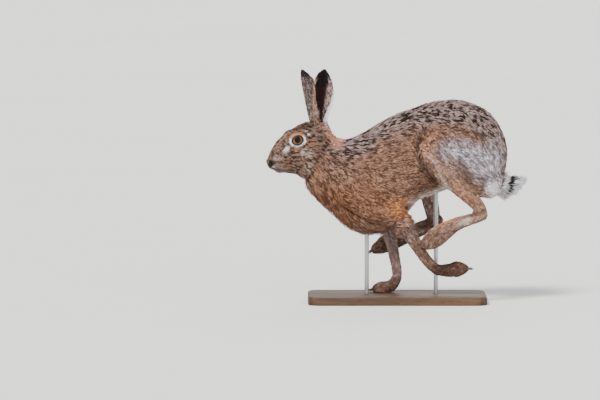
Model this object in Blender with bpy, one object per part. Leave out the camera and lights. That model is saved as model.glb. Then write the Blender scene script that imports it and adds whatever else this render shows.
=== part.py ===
"""Brown hare at full run, life size, held by a plain display stand.

Metres, +Z up. The hare runs towards -X with its left side towards -Y, and the origin is the centre
of the underside of the stand's base. Sizes below are in millimetres and heights are above the
ground, which is the top face of the base.
"""

import math
from collections import namedtuple

import bmesh
import bpy
import numpy as np
from mathutils import Matrix, Vector

MM = 0.001
GAP = 0.3  # clearance kept between touching pieces

# Driving dimensions of the stand
BASE_LENGTH = 330.0
BASE_WIDTH = 170.0
BASE_THICK = 15.0
BASE_CORNER = 22.0
BASE_EDGE = 2.5
ROD_RADIUS = 4.0
ROD_SINK = 6.0  # depth of the socket in the base
FRONT_ROD_X = -56.0
REAR_ROD_X = 72.0

# Each rod is made this high and then trimmed to the torso
FRONT_ROD_TOP = 135.0
REAR_ROD_TOP = 200.0
ROD_SIDES = 24
CORNER_STEPS = 6

# Colours
COAT_COLOUR = (0.36, 0.24, 0.14)
EYE_COLOUR = (0.03, 0.02, 0.012)
WOOD_COLOUR = (0.28, 0.17, 0.09)
STEEL_COLOUR = (0.55, 0.55, 0.56)

# Driving dimensions of the eye
EYE_RADIUS = 12.2
EYE_X = -189.0
EYE_Y = 15.8
EYE_HEIGHT = 286.5

# The head turns a little towards its left side, about the joint with the neck
HEAD_TURN = math.radians(10.0)
HEAD_PIVOT_X = -132.0

RING_SIDES = 28
BODY_VOXEL = 2.2
HEAD_VOXEL = 1.5
BODY_EASING = 12
HEAD_EASING = 26
FINE_EASING = 4
BODY_TRIANGLES = 4900
HEAD_TRIANGLES = 2100
WELD = 0.1  # points closer than this are one point
MENDING_ROUNDS = 5

# A section of the trunk or head: its highest and lowest point in the middle plane, its half width,
# and how far up it is widest, as a share of its height
Section = namedtuple("Section", "top_x top_z low_x low_z half_width widest")

# A section of a limb: its centre, half its depth in the plane of the leg, and half its width
Station = namedtuple("Station", "x y z deep wide")

TRUNK = [
    Section(-140, 300, -175, 229, 20, 0.50),
    Section(-122, 296, -168, 208, 31, 0.48),
    Section(-98, 287, -150, 184, 37, 0.45),
    Section(-68, 297, -120, 155, 42, 0.45),
    Section(-36, 316, -86, 126, 46, 0.45),
    Section(-6, 332, -46, 115, 48, 0.45),
    Section(24, 343, -2, 130, 50, 0.47),
    Section(54, 354, 34, 171, 52, 0.48),
    Section(84, 359, 62, 184, 54, 0.48),
    Section(112, 360, 96, 196, 55, 0.50),
    Section(142, 352, 132, 200, 54, 0.52),
    Section(166, 339, 162, 198, 49, 0.54),
    Section(185, 318, 184, 204, 41, 0.55),
    Section(198, 292, 197, 220, 29, 0.55),
    Section(203, 270, 202, 240, 13, 0.50),
]

HEAD = [
    Section(-240, 252, -238, 241, 6, 0.50),
    Section(-237, 262, -229, 233, 12, 0.45),
    Section(-231, 273, -218, 228, 16, 0.42),
    Section(-222, 286, -205, 225, 19, 0.42),
    Section(-209, 296, -191, 223, 22, 0.45),
    Section(-196, 305, -176, 220, 25, 0.50),
    Section(-181, 314, -160, 216, 27, 0.50),
    Section(-165, 319, -145, 216, 28, 0.48),
    Section(-149, 318, -132, 224, 27, 0.48),
    Section(-133, 308, -120, 240, 24, 0.50),
    Section(-122, 292, -112, 262, 15, 0.50),
]

LEFT, RIGHT = -1, 1

# The hind legs: thigh from hip to knee, then shank to hock, then foot to the toes. The left knee hangs
# lower and further back than the right one, which has swung further forward under the belly.
THIGH = {
    LEFT: [
        Station(198, 26, 256, 24, 14),
        Station(180, 32, 256, 46, 24),
        Station(152, 37, 258, 57, 29),
        Station(122, 40, 262, 60, 30),
        Station(94, 42, 264, 55, 29),
        Station(70, 46, 263, 44, 27),
        Station(52, 48, 264, 31, 21),
        Station(38, 47, 270, 15, 12),
    ],
    RIGHT: [
        Station(198, 26, 256, 24, 14),
        Station(180, 32, 257, 46, 24),
        Station(152, 37, 260, 57, 29),
        Station(120, 40, 266, 59, 30),
        Station(90, 42, 270, 54, 29),
        Station(64, 46, 275, 43, 27),
        Station(44, 48, 276, 31, 21),
        Station(30, 47, 280, 15, 12),
    ],
}
HAMSTRING = [
    Station(190, 24, 232, 14, 10),
    Station(176, 30, 222, 28, 20),
    Station(158, 35, 213, 32, 22),
    Station(138, 40, 214, 24, 18),
    Station(122, 43, 224, 12, 10),
]
SHANK = {
    LEFT: [
        Station(52, 50, 255, 17, 14),
        Station(66, 51, 242, 19, 16),
        Station(86, 54, 224, 17.5, 15),
        Station(110, 57, 203, 15.5, 13.5),
        Station(134, 60, 182, 14, 12.5),
        Station(151, 61, 165, 12.5, 12),
        Station(159, 61, 155, 8, 9),
    ],
    RIGHT: [
        Station(40, 50, 274, 16, 14),
        Station(44, 51, 253, 19, 16),
        Station(50, 54, 223, 18, 15.5),
        Station(57, 57, 192, 17, 14),
        Station(64, 60, 162, 15, 13),
        Station(68, 61, 143, 13, 12.5),
        Station(70, 61, 133, 9, 9),
    ],
}
FOOT = {
    LEFT: [
        Station(166, 61, 155, 5, 6),
        Station(156, 61, 151, 10.5, 10.5),
        Station(138, 61, 144.5, 10.5, 11.5),
        Station(118, 61, 138, 11.5, 13),
        Station(102, 61, 131, 13.5, 14.5),
        Station(82, 61, 118, 17, 16.5),
        Station(68, 61, 108, 18, 17),
        Station(56, 61, 100.5, 15, 15),
    ],
    RIGHT: [
        Station(86, 61, 137, 5, 6),
        Station(78, 61, 133, 11, 11),
        Station(58, 61, 122.5, 13, 13),
        Station(34, 61, 111.5, 14.5, 14.5),
        Station(8, 61, 100, 16, 16.5),
        Station(-14, 61, 91, 17, 17),
        Station(-29, 61, 85.5, 14.5, 15),
    ],
}
HIND_FOOT_Y = 61.0
FORE_FOOT_Y = 25.0
CLAW_DROP = 0.7
HIND_TOES = {
    LEFT: ((64, 104), (45, 94.5)),
    RIGHT: ((-21, 86.5), (-42, 77.5)),
}
HIND_TOE_SPREAD = (-13.5, -4.6, 4.6, 13.5)
HIND_TOE_RADIUS = 7.6

# The forelegs: upper arm from shoulder to elbow, forearm to wrist, then the paw. The right one bears on
# the ground, and the left one is folded back after its step.
UPPER_ARM = {
    LEFT: [
        Station(-112, 31, 214, 14, 9),
        Station(-92, 35, 202, 30, 15),
        Station(-60, 36, 181, 34, 17),
        Station(-26, 34, 160, 27, 16),
        Station(0, 31, 145, 19, 14),
        Station(13, 29, 137, 10, 8),
    ],
    RIGHT: [
        Station(-112, 31, 214, 14, 9),
        Station(-96, 35, 200, 28, 15),
        Station(-72, 36, 181, 32, 17),
        Station(-44, 34, 160, 27, 16),
        Station(-24, 31, 144, 19, 14),
        Station(-15, 29, 133, 10, 8),
    ],
}
FOREARM = {
    LEFT: [
        Station(0, 28, 152, 13, 12),
        Station(8, 28, 140, 15, 12.5),
        Station(19, 27.5, 119, 14, 12),
        Station(35, 26.5, 93, 12, 10.5),
        Station(51, 26, 69, 10.5, 9.4),
        Station(64, 25.5, 53, 10, 9.4),
        Station(69, 25.5, 47, 7, 6.5),
    ],
    RIGHT: [
        Station(-24, 28, 150, 13, 12),
        Station(-20, 28, 136, 15, 12.5),
        Station(-14, 27.5, 112, 13.5, 12),
        Station(-7, 26.5, 80, 11, 10.4),
        Station(-1, 26, 50, 10, 9.4),
        Station(1, 25.5, 34, 9.6, 9.4),
        Station(2, 25.5, 27, 6.5, 6.5),
    ],
}
PAW = {
    LEFT: [
        Station(60, 25, 57, 7, 7),
        Station(67, 25, 50.5, 9.8, 9.4),
        Station(80, 25, 46, 11, 11),
        Station(98, 25, 46, 13, 13),
        Station(110, 25, 48, 15, 14.5),
        Station(121, 25, 49, 12, 12),
    ],
    RIGHT: [
        Station(2, 25, 40, 7, 7),
        Station(1, 25, 32, 9.6, 9.4),
        Station(-3, 25, 21, 10.5, 11),
        Station(-11, 25, 13, 11, 13),
        Station(-22, 25, 10.5, 11, 14),
        Station(-32, 25, 8.5, 8.5, 12),
    ],
}
FORE_TOES = {
    LEFT: ((111, 48), (128, 49.5)),
    RIGHT: ((-23, 9.5), (-41, 8)),
}
FORE_TOE_SPREAD = (-10.2, -3.5, 3.5, 10.2)
FORE_TOE_RADIUS = 6.4

# Each limb piece is what lies inside an outline in the side view, further out sideways than its inner
# plane. Outlines that share an edge leave a gap there, and the torso is what lies outside them all.
THIGH_INNER = 34.0
SHANK_INNER = 36.0
FOOT_INNER = 42.0
ARM_INNER = 23.0
LEG_OUTER = 120.0
FORE_INNER = 6.0
FORE_OUTER = 42.0
LIMB_OUTLINES = {
    "thigh_left": (
        LEFT,
        THIGH_INNER,
        LEG_OUTER,
        [(26, 322), (60, 336), (226, 336), (226, 172), (168, 172), (144, 193), (100, 239), (62, 196),
         (56, 207), (52, 226), (35, 256), (27, 290)],
    ),
    "shank_left": (
        LEFT,
        SHANK_INNER,
        LEG_OUTER,
        [(62, 196), (100, 239), (144, 193), (168, 172), (178, 163.5), (105, 151), (80, 168)],
    ),
    "hind_foot_left": (
        LEFT,
        FOOT_INNER,
        LEG_OUTER,
        [(105, 151), (178, 163.5), (188, 144), (120, 90), (36, 66), (20, 100), (60, 134)],
    ),
    "thigh_right": (
        RIGHT,
        THIGH_INNER,
        LEG_OUTER,
        [(14, 300), (18, 328), (50, 338), (226, 338), (226, 168), (150, 168), (96, 196), (84, 230),
         (10, 220)],
    ),
    "shank_right": (
        RIGHT,
        SHANK_INNER,
        LEG_OUTER,
        [(10, 220), (84, 230), (96, 196), (94, 149), (30, 134)],
    ),
    "hind_foot_right": (
        RIGHT,
        FOOT_INNER,
        LEG_OUTER,
        [(30, 134), (94, 149), (104, 128), (60, 80), (-60, 50), (-76, 92), (0, 131)],
    ),
    "upper_foreleg_left": (
        LEFT,
        ARM_INNER,
        LEG_OUTER,
        [(-128, 205), (-118, 238), (-82, 240), (-30, 200), (10, 172), (42, 143), (-8, 109), (-30, 125),
         (-60, 138), (-100, 165), (-122, 185)],
    ),
    "forearm_left": (
        LEFT,
        FORE_INNER,
        FORE_OUTER,
        [(-8, 109), (42, 143), (78, 82), (60, 24), (40, 40), (6, 80)],
    ),
    "forepaw_left": (
        LEFT,
        FORE_INNER,
        FORE_OUTER,
        [(60, 24), (78, 82), (150, 76), (150, 20)],
    ),
    "upper_foreleg_right": (
        RIGHT,
        ARM_INNER,
        LEG_OUTER,
        [(-128, 205), (-118, 238), (-82, 240), (-40, 200), (-4, 165), (10, 127.7), (-45, 116.5),
         (-70, 135), (-104, 165), (-122, 185)],
    ),
    "forearm_right": (
        RIGHT,
        FORE_INNER,
        FORE_OUTER,
        [(-45, 116.5), (10, 127.7), (24, 50), (20, 31), (-20, 31), (-32, 60)],
    ),
    "forepaw_right": (
        RIGHT,
        FORE_INNER,
        FORE_OUTER,
        [(-20, 31), (20, 31), (20, 0.15), (-62, 0.15), (-62, 31)],
    ),
}

UPPER_ARMS = ("upper_foreleg_left", "upper_foreleg_right")

# The head and the neck are cut right across
ACROSS = 130.0
NECK_CUT_LINE = [(-65, 380), (-141, 90)]
HEAD_OUTLINE = [(-92, 338), (-196, 182), (-300, 182), (-300, 380), (-92, 380)]
NECK_OUTLINE = [(-92, 338), (-76, 338), (-134, 116), (-196, 182)]

# Nostrils, and the split of the upper lip
NOSTRIL = (-239, 5.0, 243.5)
NOSTRIL_SIZE = (4.5, 2.0, 2.2)
LIP_SPLIT = ((-241, 0, 238.5), (6.0, 0.8, 5.0))

# Lumps of flesh on the head: centre and half sizes, made on both sides where the centre is off the middle
CHEEK = ((-164, 12, 248), (30, 15, 28))
MUZZLE_PAD = ((-221, 7.5, 240), (20, 10.5, 10.5))
NOSE_PAD = ((-236, 0, 246), (8, 7.5, 8.5))
CHIN = ((-217, 0, 231), (11, 8, 6))
EYE_MOUND = ((-187, 11, 285), (27, 15, 19))
BROW = ((-187, 12, 296), (21, 10, 8))

# The root of each ear, narrowing upwards into the ear from the back of the skull
EAR_ROOT = [
    Station(-138, 8, 268, 22, 13),
    Station(-138, 10, 284, 23, 14),
    Station(-140, 12, 298, 18.5, 13),
    Station(-141, 13, 309, 14.5, 11.5),
    Station(-141.5, 13.5, 318, 9.5, 8.5),
    Station(-142, 13.5, 322, 4, 4),
]

# An ear is a rolled sheet: a point on its back, the radius of its roll, how far the roll goes round to
# each side in degrees, and how thick the sheet is
EarStation = namedtuple("EarStation", "x y z radius wrap wall")
EAR = {
    LEFT: [
        EarStation(-149, 4, 298, 12, 152, 11),
        EarStation(-149.5, 4, 311, 12.3, 152, 10),
        EarStation(-150, 5.5, 322, 12.6, 146, 6.5),
        EarStation(-150, 8, 334, 15, 124, 3),
        EarStation(-148.5, 10.5, 350, 19.2, 103, 2.3),
        EarStation(-147, 13, 368, 22.4, 88, 2.2),
        EarStation(-146, 15.5, 386, 22, 79, 2.2),
        EarStation(-144.5, 18, 400, 18.5, 74, 2.2),
        EarStation(-141, 20.5, 409.5, 13, 66, 2.2),
        EarStation(-136.5, 22, 415, 6, 55, 2.0),
    ],
    RIGHT: [
        EarStation(-152, 4, 298, 12, 152, 11),
        EarStation(-155.5, 4, 311, 12.3, 152, 10),
        EarStation(-159.5, 5.5, 322, 12.6, 146, 6.5),
        EarStation(-162, 8, 334, 15, 124, 3),
        EarStation(-164.5, 10.5, 350, 18.5, 103, 2.3),
        EarStation(-167.5, 13, 368, 21, 88, 2.2),
        EarStation(-171, 15.5, 385, 20, 79, 2.2),
        EarStation(-174, 18, 398, 16.5, 74, 2.2),
        EarStation(-175.5, 20.5, 407, 11.5, 66, 2.2),
        EarStation(-176, 22, 413, 5.5, 55, 2.0),
    ],
}
EAR_OPENING = {LEFT: (0.60, 0.80), RIGHT: (0.75, 0.66)}  # towards the tail, and outwards
EAR_POINTS = 13

# Eyelids: a shell over the eye with an opening through it
LID_RADIUS = 14.3
LID_OPENING = (10.1, 8.2)
LID_OPENING_DEPTH = 6.0  # how far out from the middle of the eye the opening starts
LID_TILT = math.radians(12.0)

# The mouth line from in front of the lips to its corners: along the muzzle, height, half height of the groove
MOUTH_LINE = [
    (-254, 237.5, 0.7),
    (-238, 236.5, 0.7),
    (-231, 234.5, 0.7),
    (-224, 232.3, 0.7),
    (-216, 231, 0.7),
    (-209, 231.2, 0.6),
    (-203, 233.2, 0.2),
]
MOUTH_ACROSS = 40.0  # reaches past the muzzle on both sides
GROOVE_DEPTH = 2.4

# The tail: a short core inside, and flat tapered locks of hair from it out to the tail's outline
TAIL_CORE = [
    Station(168, 0, 222, 20, 22),
    Station(182, 0, 207, 20, 22),
    Station(196, 0, 200, 17, 18),
    Station(207, 0, 199, 12, 13),
    Station(213, 0, 199, 6, 6),
]
# A lock: its root and its tip, each as x, y and height, and its width at the root. Those off the middle
# plane are made on both sides.
Lock = namedtuple("Lock", "root tip width")
TAIL_LOCKS = [
    Lock((196, 0, 211), (239, 0, 219), 15),
    Lock((194, 7, 209), (232, 12, 216), 14),
    Lock((190, 13, 206), (222, 22, 211), 14),
    Lock((200, 0, 204), (242, 0, 214), 15),
    Lock((198, 7, 203), (240, 9, 208), 14),
    Lock((196, 13, 201), (230, 22, 202), 14),
    Lock((202, 0, 198), (237, 0, 203), 15),
    Lock((200, 7, 196), (232, 10, 196), 14),
    Lock((194, 13, 196), (222, 22, 190), 14),
    Lock((200, 0, 192), (228, 0, 190), 15),
    Lock((196, 7, 191), (220, 11, 184), 14),
    Lock((188, 14, 192), (210, 22, 179), 14),
    Lock((194, 0, 188), (214, 0, 178), 15),
    Lock((188, 7, 188), (204, 11, 173), 14),
    Lock((180, 14, 192), (194, 20, 172), 14),
    Lock((184, 0, 188), (196, 0, 169), 15),
    Lock((176, 9, 192), (182, 12, 168), 14),
]
LOCK_SHAPE = ((-0.12, 0.9), (0.35, 1.25), (0.75, 0.9), (1.0, 0.22))  # how far along, share of the width
LOCK_THICK = 0.28  # half thickness of a lock as a share of its half width
TAIL_MIDDLE = 199.5


# Shaping

def smooth_rows(rows, steps):
    """Rows of numbers, with smoothly curving ones put between each two."""
    points = np.array(rows, float)
    ends = np.vstack([2 * points[0] - points[1], points, 2 * points[-1] - points[-2]])
    smooth = []
    for index in range(1, len(ends) - 2):
        before, start, stop, after = ends[index - 1 : index + 3]
        for step in range(steps):
            t = step / steps
            turn = (2 * before - 5 * start + 4 * stop - after) * t**2
            swing = (3 * start - before - 3 * stop + after) * t**3
            smooth.append(0.5 * (2 * start + (stop - before) * t + turn + swing))
    smooth.append(points[-1])
    return np.array(smooth)


def mesh_object(name, points, faces):
    """An object from points in millimetres, their heights above the ground, with its faces turned out."""
    mesh = bpy.data.meshes.new(name)
    mesh.from_pydata([Vector((x, y, z + BASE_THICK)) * MM for x, y, z in points], [], faces)
    work = bmesh.new()
    work.from_mesh(mesh)
    bmesh.ops.recalc_face_normals(work, faces=work.faces)
    work.to_mesh(mesh)
    work.free()
    obj = bpy.data.objects.new(name, mesh)
    bpy.context.scene.collection.objects.link(obj)
    return obj


def loft(name, rings):
    """A closed surface through rings of equal count, each a list of points in millimetres."""
    sides = len(rings[0])
    faces = []
    for ring in range(len(rings) - 1):
        for side in range(sides):
            here = ring * sides + side
            across = ring * sides + (side + 1) % sides
            faces.append((here, across, across + sides, here + sides))
    faces.append(tuple(range(sides)))
    last = (len(rings) - 1) * sides
    faces.append(tuple(range(last, last + sides)))
    return mesh_object(name, [point for ring in rings for point in ring], faces)


def body_loft(name, sections):
    rings = []
    for top_x, top_z, low_x, low_z, half_width, widest in smooth_rows(sections, 4):
        ring = []
        for side in range(RING_SIDES):
            angle = 2 * math.pi * side / RING_SIDES
            up = math.sin(angle)
            share = widest + (1 - widest if up > 0 else widest) * up
            along = low_x + (top_x - low_x) * share
            ring.append((along, half_width * math.cos(angle), low_z + (top_z - low_z) * share))
        rings.append(ring)
    return loft(name, rings)


def limb_loft(name, stations, side, sides=RING_SIDES, steps=3):
    rows = smooth_rows(stations, steps)
    headings = np.gradient(rows[:, [0, 2]], axis=0)
    rings = []
    for (x, y, z, deep, wide), (ahead, rise) in zip(rows, headings):
        length = math.hypot(ahead, rise)
        over_x, over_z = -rise / length, ahead / length
        ring = []
        for corner in range(sides):
            angle = 2 * math.pi * corner / sides
            out = deep * math.cos(angle)
            ring.append((x + out * over_x, side * y + wide * math.sin(angle), z + out * over_z))
        rings.append(ring)
    return loft(name, rings)


def ball(name, centre, half_sizes, around=24, down=14):
    """An ellipsoid."""
    rings = []
    for row in range(1, down):
        polar = math.pi * row / down
        ring = []
        for side in range(around):
            angle = 2 * math.pi * side / around
            across = math.sin(polar)
            ring.append((
                centre[0] + half_sizes[0] * across * math.cos(angle),
                centre[1] + half_sizes[1] * across * math.sin(angle),
                centre[2] + half_sizes[2] * math.cos(polar),
            ))
        rings.append(ring)
    return loft(name, rings)


# Working on objects

def apply_modifiers(obj):
    graph = bpy.context.evaluated_depsgraph_get()
    mesh = bpy.data.meshes.new_from_object(obj.evaluated_get(graph))
    obj.modifiers.clear()
    old = obj.data
    obj.data = mesh
    bpy.data.meshes.remove(old)


def remove(objects):
    for obj in list(objects):
        bpy.data.objects.remove(obj)


def joined(name, objects):
    """One object that holds the meshes of several, which are removed."""
    work = bmesh.new()
    for obj in objects:
        work.from_mesh(obj.data)
    mesh = bpy.data.meshes.new(name)
    work.to_mesh(mesh)
    work.free()
    remove(objects)
    result = bpy.data.objects.new(name, mesh)
    bpy.context.scene.collection.objects.link(result)
    return result


def remesh(obj, voxel, smoothing):
    """Makes overlapping closed forms one surface, and eases the creases between them."""
    change = obj.modifiers.new("remesh", "REMESH")
    change.mode = "VOXEL"
    change.voxel_size = voxel * MM
    change = obj.modifiers.new("smooth", "SMOOTH")
    change.factor = 0.5
    change.iterations = smoothing
    apply_modifiers(obj)


def mend(obj):
    """Closes up the slivers that thinning out a surface can leave where three faces share an edge."""
    work = bmesh.new()
    work.from_mesh(obj.data)
    bmesh.ops.remove_doubles(work, verts=work.verts, dist=WELD * MM)
    for _round in range(MENDING_ROUNDS):
        shared = [edge for edge in work.edges if len(edge.link_faces) != 2]
        if not shared:
            break
        bmesh.ops.collapse(work, edges=shared)
        bmesh.ops.dissolve_degenerate(work, edges=work.edges, dist=WELD * MM)
    bmesh.ops.triangulate(work, faces=work.faces)
    work.to_mesh(obj.data)
    work.free()


def simplify(obj, triangles):
    obj.data.calc_loop_triangles()
    change = obj.modifiers.new("decimate", "DECIMATE")
    change.ratio = min(1.0, triangles / len(obj.data.loop_triangles))
    apply_modifiers(obj)
    mend(obj)


def combine(obj, operation, others):
    """A Boolean of this object with all the others at once, which are removed. Fine surfaces make the
    exact solver slow, and the manifold one joins them cleanly, as every mesh here is closed."""
    group = bpy.data.collections.new("cutters")
    for other in others:
        group.objects.link(other)
    change = obj.modifiers.new("boolean", "BOOLEAN")
    change.operation = operation
    change.operand_type = "COLLECTION"
    change.collection = group
    change.solver = "MANIFOLD"
    apply_modifiers(obj)
    remove(others)
    bpy.data.collections.remove(group)


def copy_of(obj, name):
    result = bpy.data.objects.new(name, obj.data.copy())
    bpy.context.scene.collection.objects.link(result)
    return result


def inflated(obj, distance):
    """A copy whose surface lies further out by a distance in millimetres."""
    result = copy_of(obj, obj.name + "_around")
    mesh = result.data
    normals = [vertex.normal.copy() for vertex in mesh.vertices]
    for vertex, normal in zip(mesh.vertices, normals):
        vertex.co += normal * distance * MM
    return result


def keep_largest(obj):
    """Drops every closed surface but the one that holds the most."""
    work = bmesh.new()
    work.from_mesh(obj.data)
    unseen = set(work.verts)
    pieces = []
    while unseen:
        start = unseen.pop()
        piece = {start}
        edge_of = [start]
        while edge_of:
            for edge in edge_of.pop().link_edges:
                for vertex in edge.verts:
                    if vertex in unseen:
                        unseen.remove(vertex)
                        piece.add(vertex)
                        edge_of.append(vertex)
        pieces.append(piece)
    sizes = []
    for piece in pieces:
        faces = {face for vertex in piece for face in vertex.link_faces}
        held = 0.0
        for face in faces:
            first = face.verts[0].co
            for second, third in zip(face.verts[1:], face.verts[2:]):
                held += first.dot(second.co.cross(third.co)) / 6
        sizes.append(held)
    kept = pieces[sizes.index(max(sizes))]
    bmesh.ops.delete(work, geom=[vertex for vertex in work.verts if vertex not in kept], context="VERTS")
    work.to_mesh(obj.data)
    work.free()


def moved_outline(outline, distance):
    """A closed outline in the side view with each edge moved outwards by a distance."""
    points = [np.array(point, float) for point in outline]
    area = sum(a[0] * b[1] - b[0] * a[1] for a, b in zip(points, points[1:] + points[:1]))
    outwards = 1 if area > 0 else -1
    edges = []
    for here, there in zip(points, points[1:] + points[:1]):
        along = (there - here) / np.linalg.norm(there - here)
        normal = np.array([along[1], -along[0]]) * outwards
        edges.append((here + normal * distance, along))
    moved = []
    for (before, before_along), (after, after_along) in zip(edges[-1:] + edges[:-1], edges):
        turn = before_along[0] * after_along[1] - before_along[1] * after_along[0]
        if abs(turn) < 1e-6:
            moved.append(after)
            continue
        apart = after - before
        step = (apart[0] * after_along[1] - apart[1] * after_along[0]) / turn
        moved.append(before + before_along * step)
    return moved


def prism(name, outline, near_y, far_y):
    """A block with an outline in the side view, between two distances from the middle plane."""
    rings = [[(x, y, z) for x, z in outline] for y in (near_y, far_y)]
    return loft(name, rings)


def limb_block(name, side, inner, outer, outline, growth):
    """The block that holds a limb piece, grown on its cut sides by a distance that may be negative."""
    return prism(name, moved_outline(outline, growth), side * (inner - growth), side * (outer + growth))


# The animal

def toes(name, ends, middle, spread, radius, side):
    """Toes side by side at the end of a paw, the two in the middle reaching furthest."""
    (start_x, start_z), (end_x, end_z) = ends
    made = []
    for offset in spread:
        reach = 1.0 if abs(offset) < max(spread) / 2 else 0.82
        tip_x = start_x + (end_x - start_x) * reach
        tip_z = start_z + (end_z - start_z) * reach
        half_x = (start_x + tip_x) / 2
        half_z = (start_z + tip_z) / 2
        past_x = tip_x + (end_x - start_x) * 0.22
        past_z = tip_z + (end_z - start_z) * 0.22
        rows = [
            Station(start_x, middle + offset * 0.8, start_z, radius * 1.9, radius * 0.9),
            Station(half_x, middle + offset * 0.92, half_z, radius * 1.75, radius * 0.95),
            Station(tip_x, middle + offset, tip_z, radius * 1.2, radius * 0.8),
            Station(past_x, middle + offset, past_z, radius * 0.5, radius * 0.4),
        ]
        made.append(limb_loft(name, rows, side, sides=14))
    return made


def claws(name, ends, middle, spread, radius, side):
    """A small curved claw at the tip of each toe."""
    (start_x, start_z), (end_x, end_z) = ends
    length = math.hypot(end_x - start_x, end_z - start_z)
    ahead = (end_x - start_x) / length
    rise = (end_z - start_z) / length
    made = []
    for offset in spread:
        reach = 1.0 if abs(offset) < max(spread) / 2 else 0.82
        tip = length * reach + radius * 0.1
        rows = []
        for step, (out, thick) in enumerate(((0, 1.9), (6, 1.6), (10, 0.4))):
            drop = CLAW_DROP * step * step
            rows.append(Station(
                start_x + ahead * (tip + out) + rise * drop,
                middle + offset,
                start_z + rise * (tip + out) - abs(ahead) * drop,
                thick,
                thick * 0.8,
            ))
        made.append(limb_loft(name, rows, side, sides=5, steps=1))
    return made


def broad_legs():
    made = []
    for side in (LEFT, RIGHT):
        made.append(limb_loft("thigh", THIGH[side], side))
        made.append(limb_loft("hamstring", HAMSTRING, side))
        made.append(limb_loft("upper_arm", UPPER_ARM[side], side))
    return made


def slender_legs():
    made = []
    for side in (LEFT, RIGHT):
        made.append(limb_loft("shank", SHANK[side], side))
        made.append(limb_loft("foot", FOOT[side], side))
        made.extend(toes("toe", HIND_TOES[side], HIND_FOOT_Y, HIND_TOE_SPREAD, HIND_TOE_RADIUS, side))
        made.append(limb_loft("forearm", FOREARM[side], side))
        made.append(limb_loft("paw", PAW[side], side))
        made.extend(toes("toe", FORE_TOES[side], FORE_FOOT_Y, FORE_TOE_SPREAD, FORE_TOE_RADIUS, side))
    return made


def turned_head(objects):
    """Turns objects of the head towards the animal's left, about the joint with the neck."""
    pivot = Matrix.Translation((HEAD_PIVOT_X * MM, 0, 0))
    turn = pivot @ Matrix.Rotation(HEAD_TURN, 4, "Z") @ pivot.inverted()
    for obj in objects:
        obj.data.transform(turn)
    return objects


def lumps(forms):
    made = []
    for (x, y, z), half_sizes in forms:
        for side in (LEFT, RIGHT) if y else (LEFT,):
            made.append(ball("lump", (x, side * y, z), half_sizes))
    return made


def broad_head():
    made = [body_loft("skull", HEAD)] + lumps((CHEEK, MUZZLE_PAD, NOSE_PAD, CHIN, EYE_MOUND, BROW))
    for side in (LEFT, RIGHT):
        made.append(limb_loft("ear_root", EAR_ROOT, side))
    return turned_head(made)


def flesh(name, broad, voxel, easing):
    """Broad forms eased into each other."""
    whole = joined(name, broad)
    remesh(whole, voxel, easing)
    return whole


def make_body():
    """The whole animal but its head's finer forms, ears, eyes and tail, as one surface."""
    broad = [body_loft("trunk", TRUNK)] + broad_head() + broad_legs()
    base = flesh("trunk_and_thighs", broad, BODY_VOXEL, BODY_EASING)
    body = flesh("body", [base] + slender_legs(), BODY_VOXEL, FINE_EASING)
    simplify(body, BODY_TRIANGLES)
    return body


def almond(name, side):
    """The opening between the lids, as a block that points straight out from the eye."""
    half_long, half_high = LID_OPENING
    outline = []
    for corner in range(20):
        angle = 2 * math.pi * corner / 20
        along = half_long * math.cos(angle)
        up = half_high * math.sin(angle) * (1 - 0.12 * math.cos(angle) ** 2)
        outline.append((
            EYE_X + along * math.cos(LID_TILT) - up * math.sin(LID_TILT),
            EYE_HEIGHT + along * math.sin(LID_TILT) + up * math.cos(LID_TILT),
        ))
    return prism(name, outline, side * (EYE_Y + LID_OPENING_DEPTH), side * (EYE_Y + 40))


def grooves(head):
    """The mouth line and the split of the upper lip, as cutters that reach only a little into the head."""
    rings = []
    for x, z, half_high in MOUTH_LINE:
        rings.append([
            (x, -MOUTH_ACROSS, z - half_high),
            (x, MOUTH_ACROSS, z - half_high),
            (x, MOUTH_ACROSS, z + half_high),
            (x, -MOUTH_ACROSS, z + half_high),
        ])
    made = turned_head([loft("mouth", rings), ball("lip_split", *LIP_SPLIT, 10, 6)])
    for groove in made:
        combine(groove, "DIFFERENCE", [inflated(head, -GROOVE_DEPTH)])
    return made


def make_head():
    """The head with its lids, nostrils and mouth line, cut off at the neck."""
    broad = [body_loft("nape", TRUNK[:5])] + broad_head()
    head = flesh("head", broad, HEAD_VOXEL, HEAD_EASING)
    combine(head, "INTERSECT", [prism("half", moved_outline(HEAD_OUTLINE, -GAP / 2), -ACROSS, ACROSS)])
    keep_largest(head)
    simplify(head, HEAD_TRIANGLES)
    lids = []
    cutters = []
    for side in (LEFT, RIGHT):
        centre = (EYE_X, side * EYE_Y, EYE_HEIGHT)
        lids.append(ball("lid", centre, (LID_RADIUS,) * 3, 18, 10))
        cutters.append(ball("socket", centre, (EYE_RADIUS + GAP,) * 3, 18, 10))
        cutters.append(almond("opening", side))
        cutters.append(ball("nostril", (NOSTRIL[0], side * NOSTRIL[1], NOSTRIL[2]), NOSTRIL_SIZE, 10, 6))
    cutters = turned_head(cutters) + grooves(head)
    combine(head, "UNION", turned_head(lids))
    combine(head, "DIFFERENCE", cutters)
    keep_largest(head)
    return head


def make_eye(name, side):
    eye = ball(name, (EYE_X, side * EYE_Y, EYE_HEIGHT), (EYE_RADIUS,) * 3, 18, 10)
    turned_head([eye])
    return eye


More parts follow.
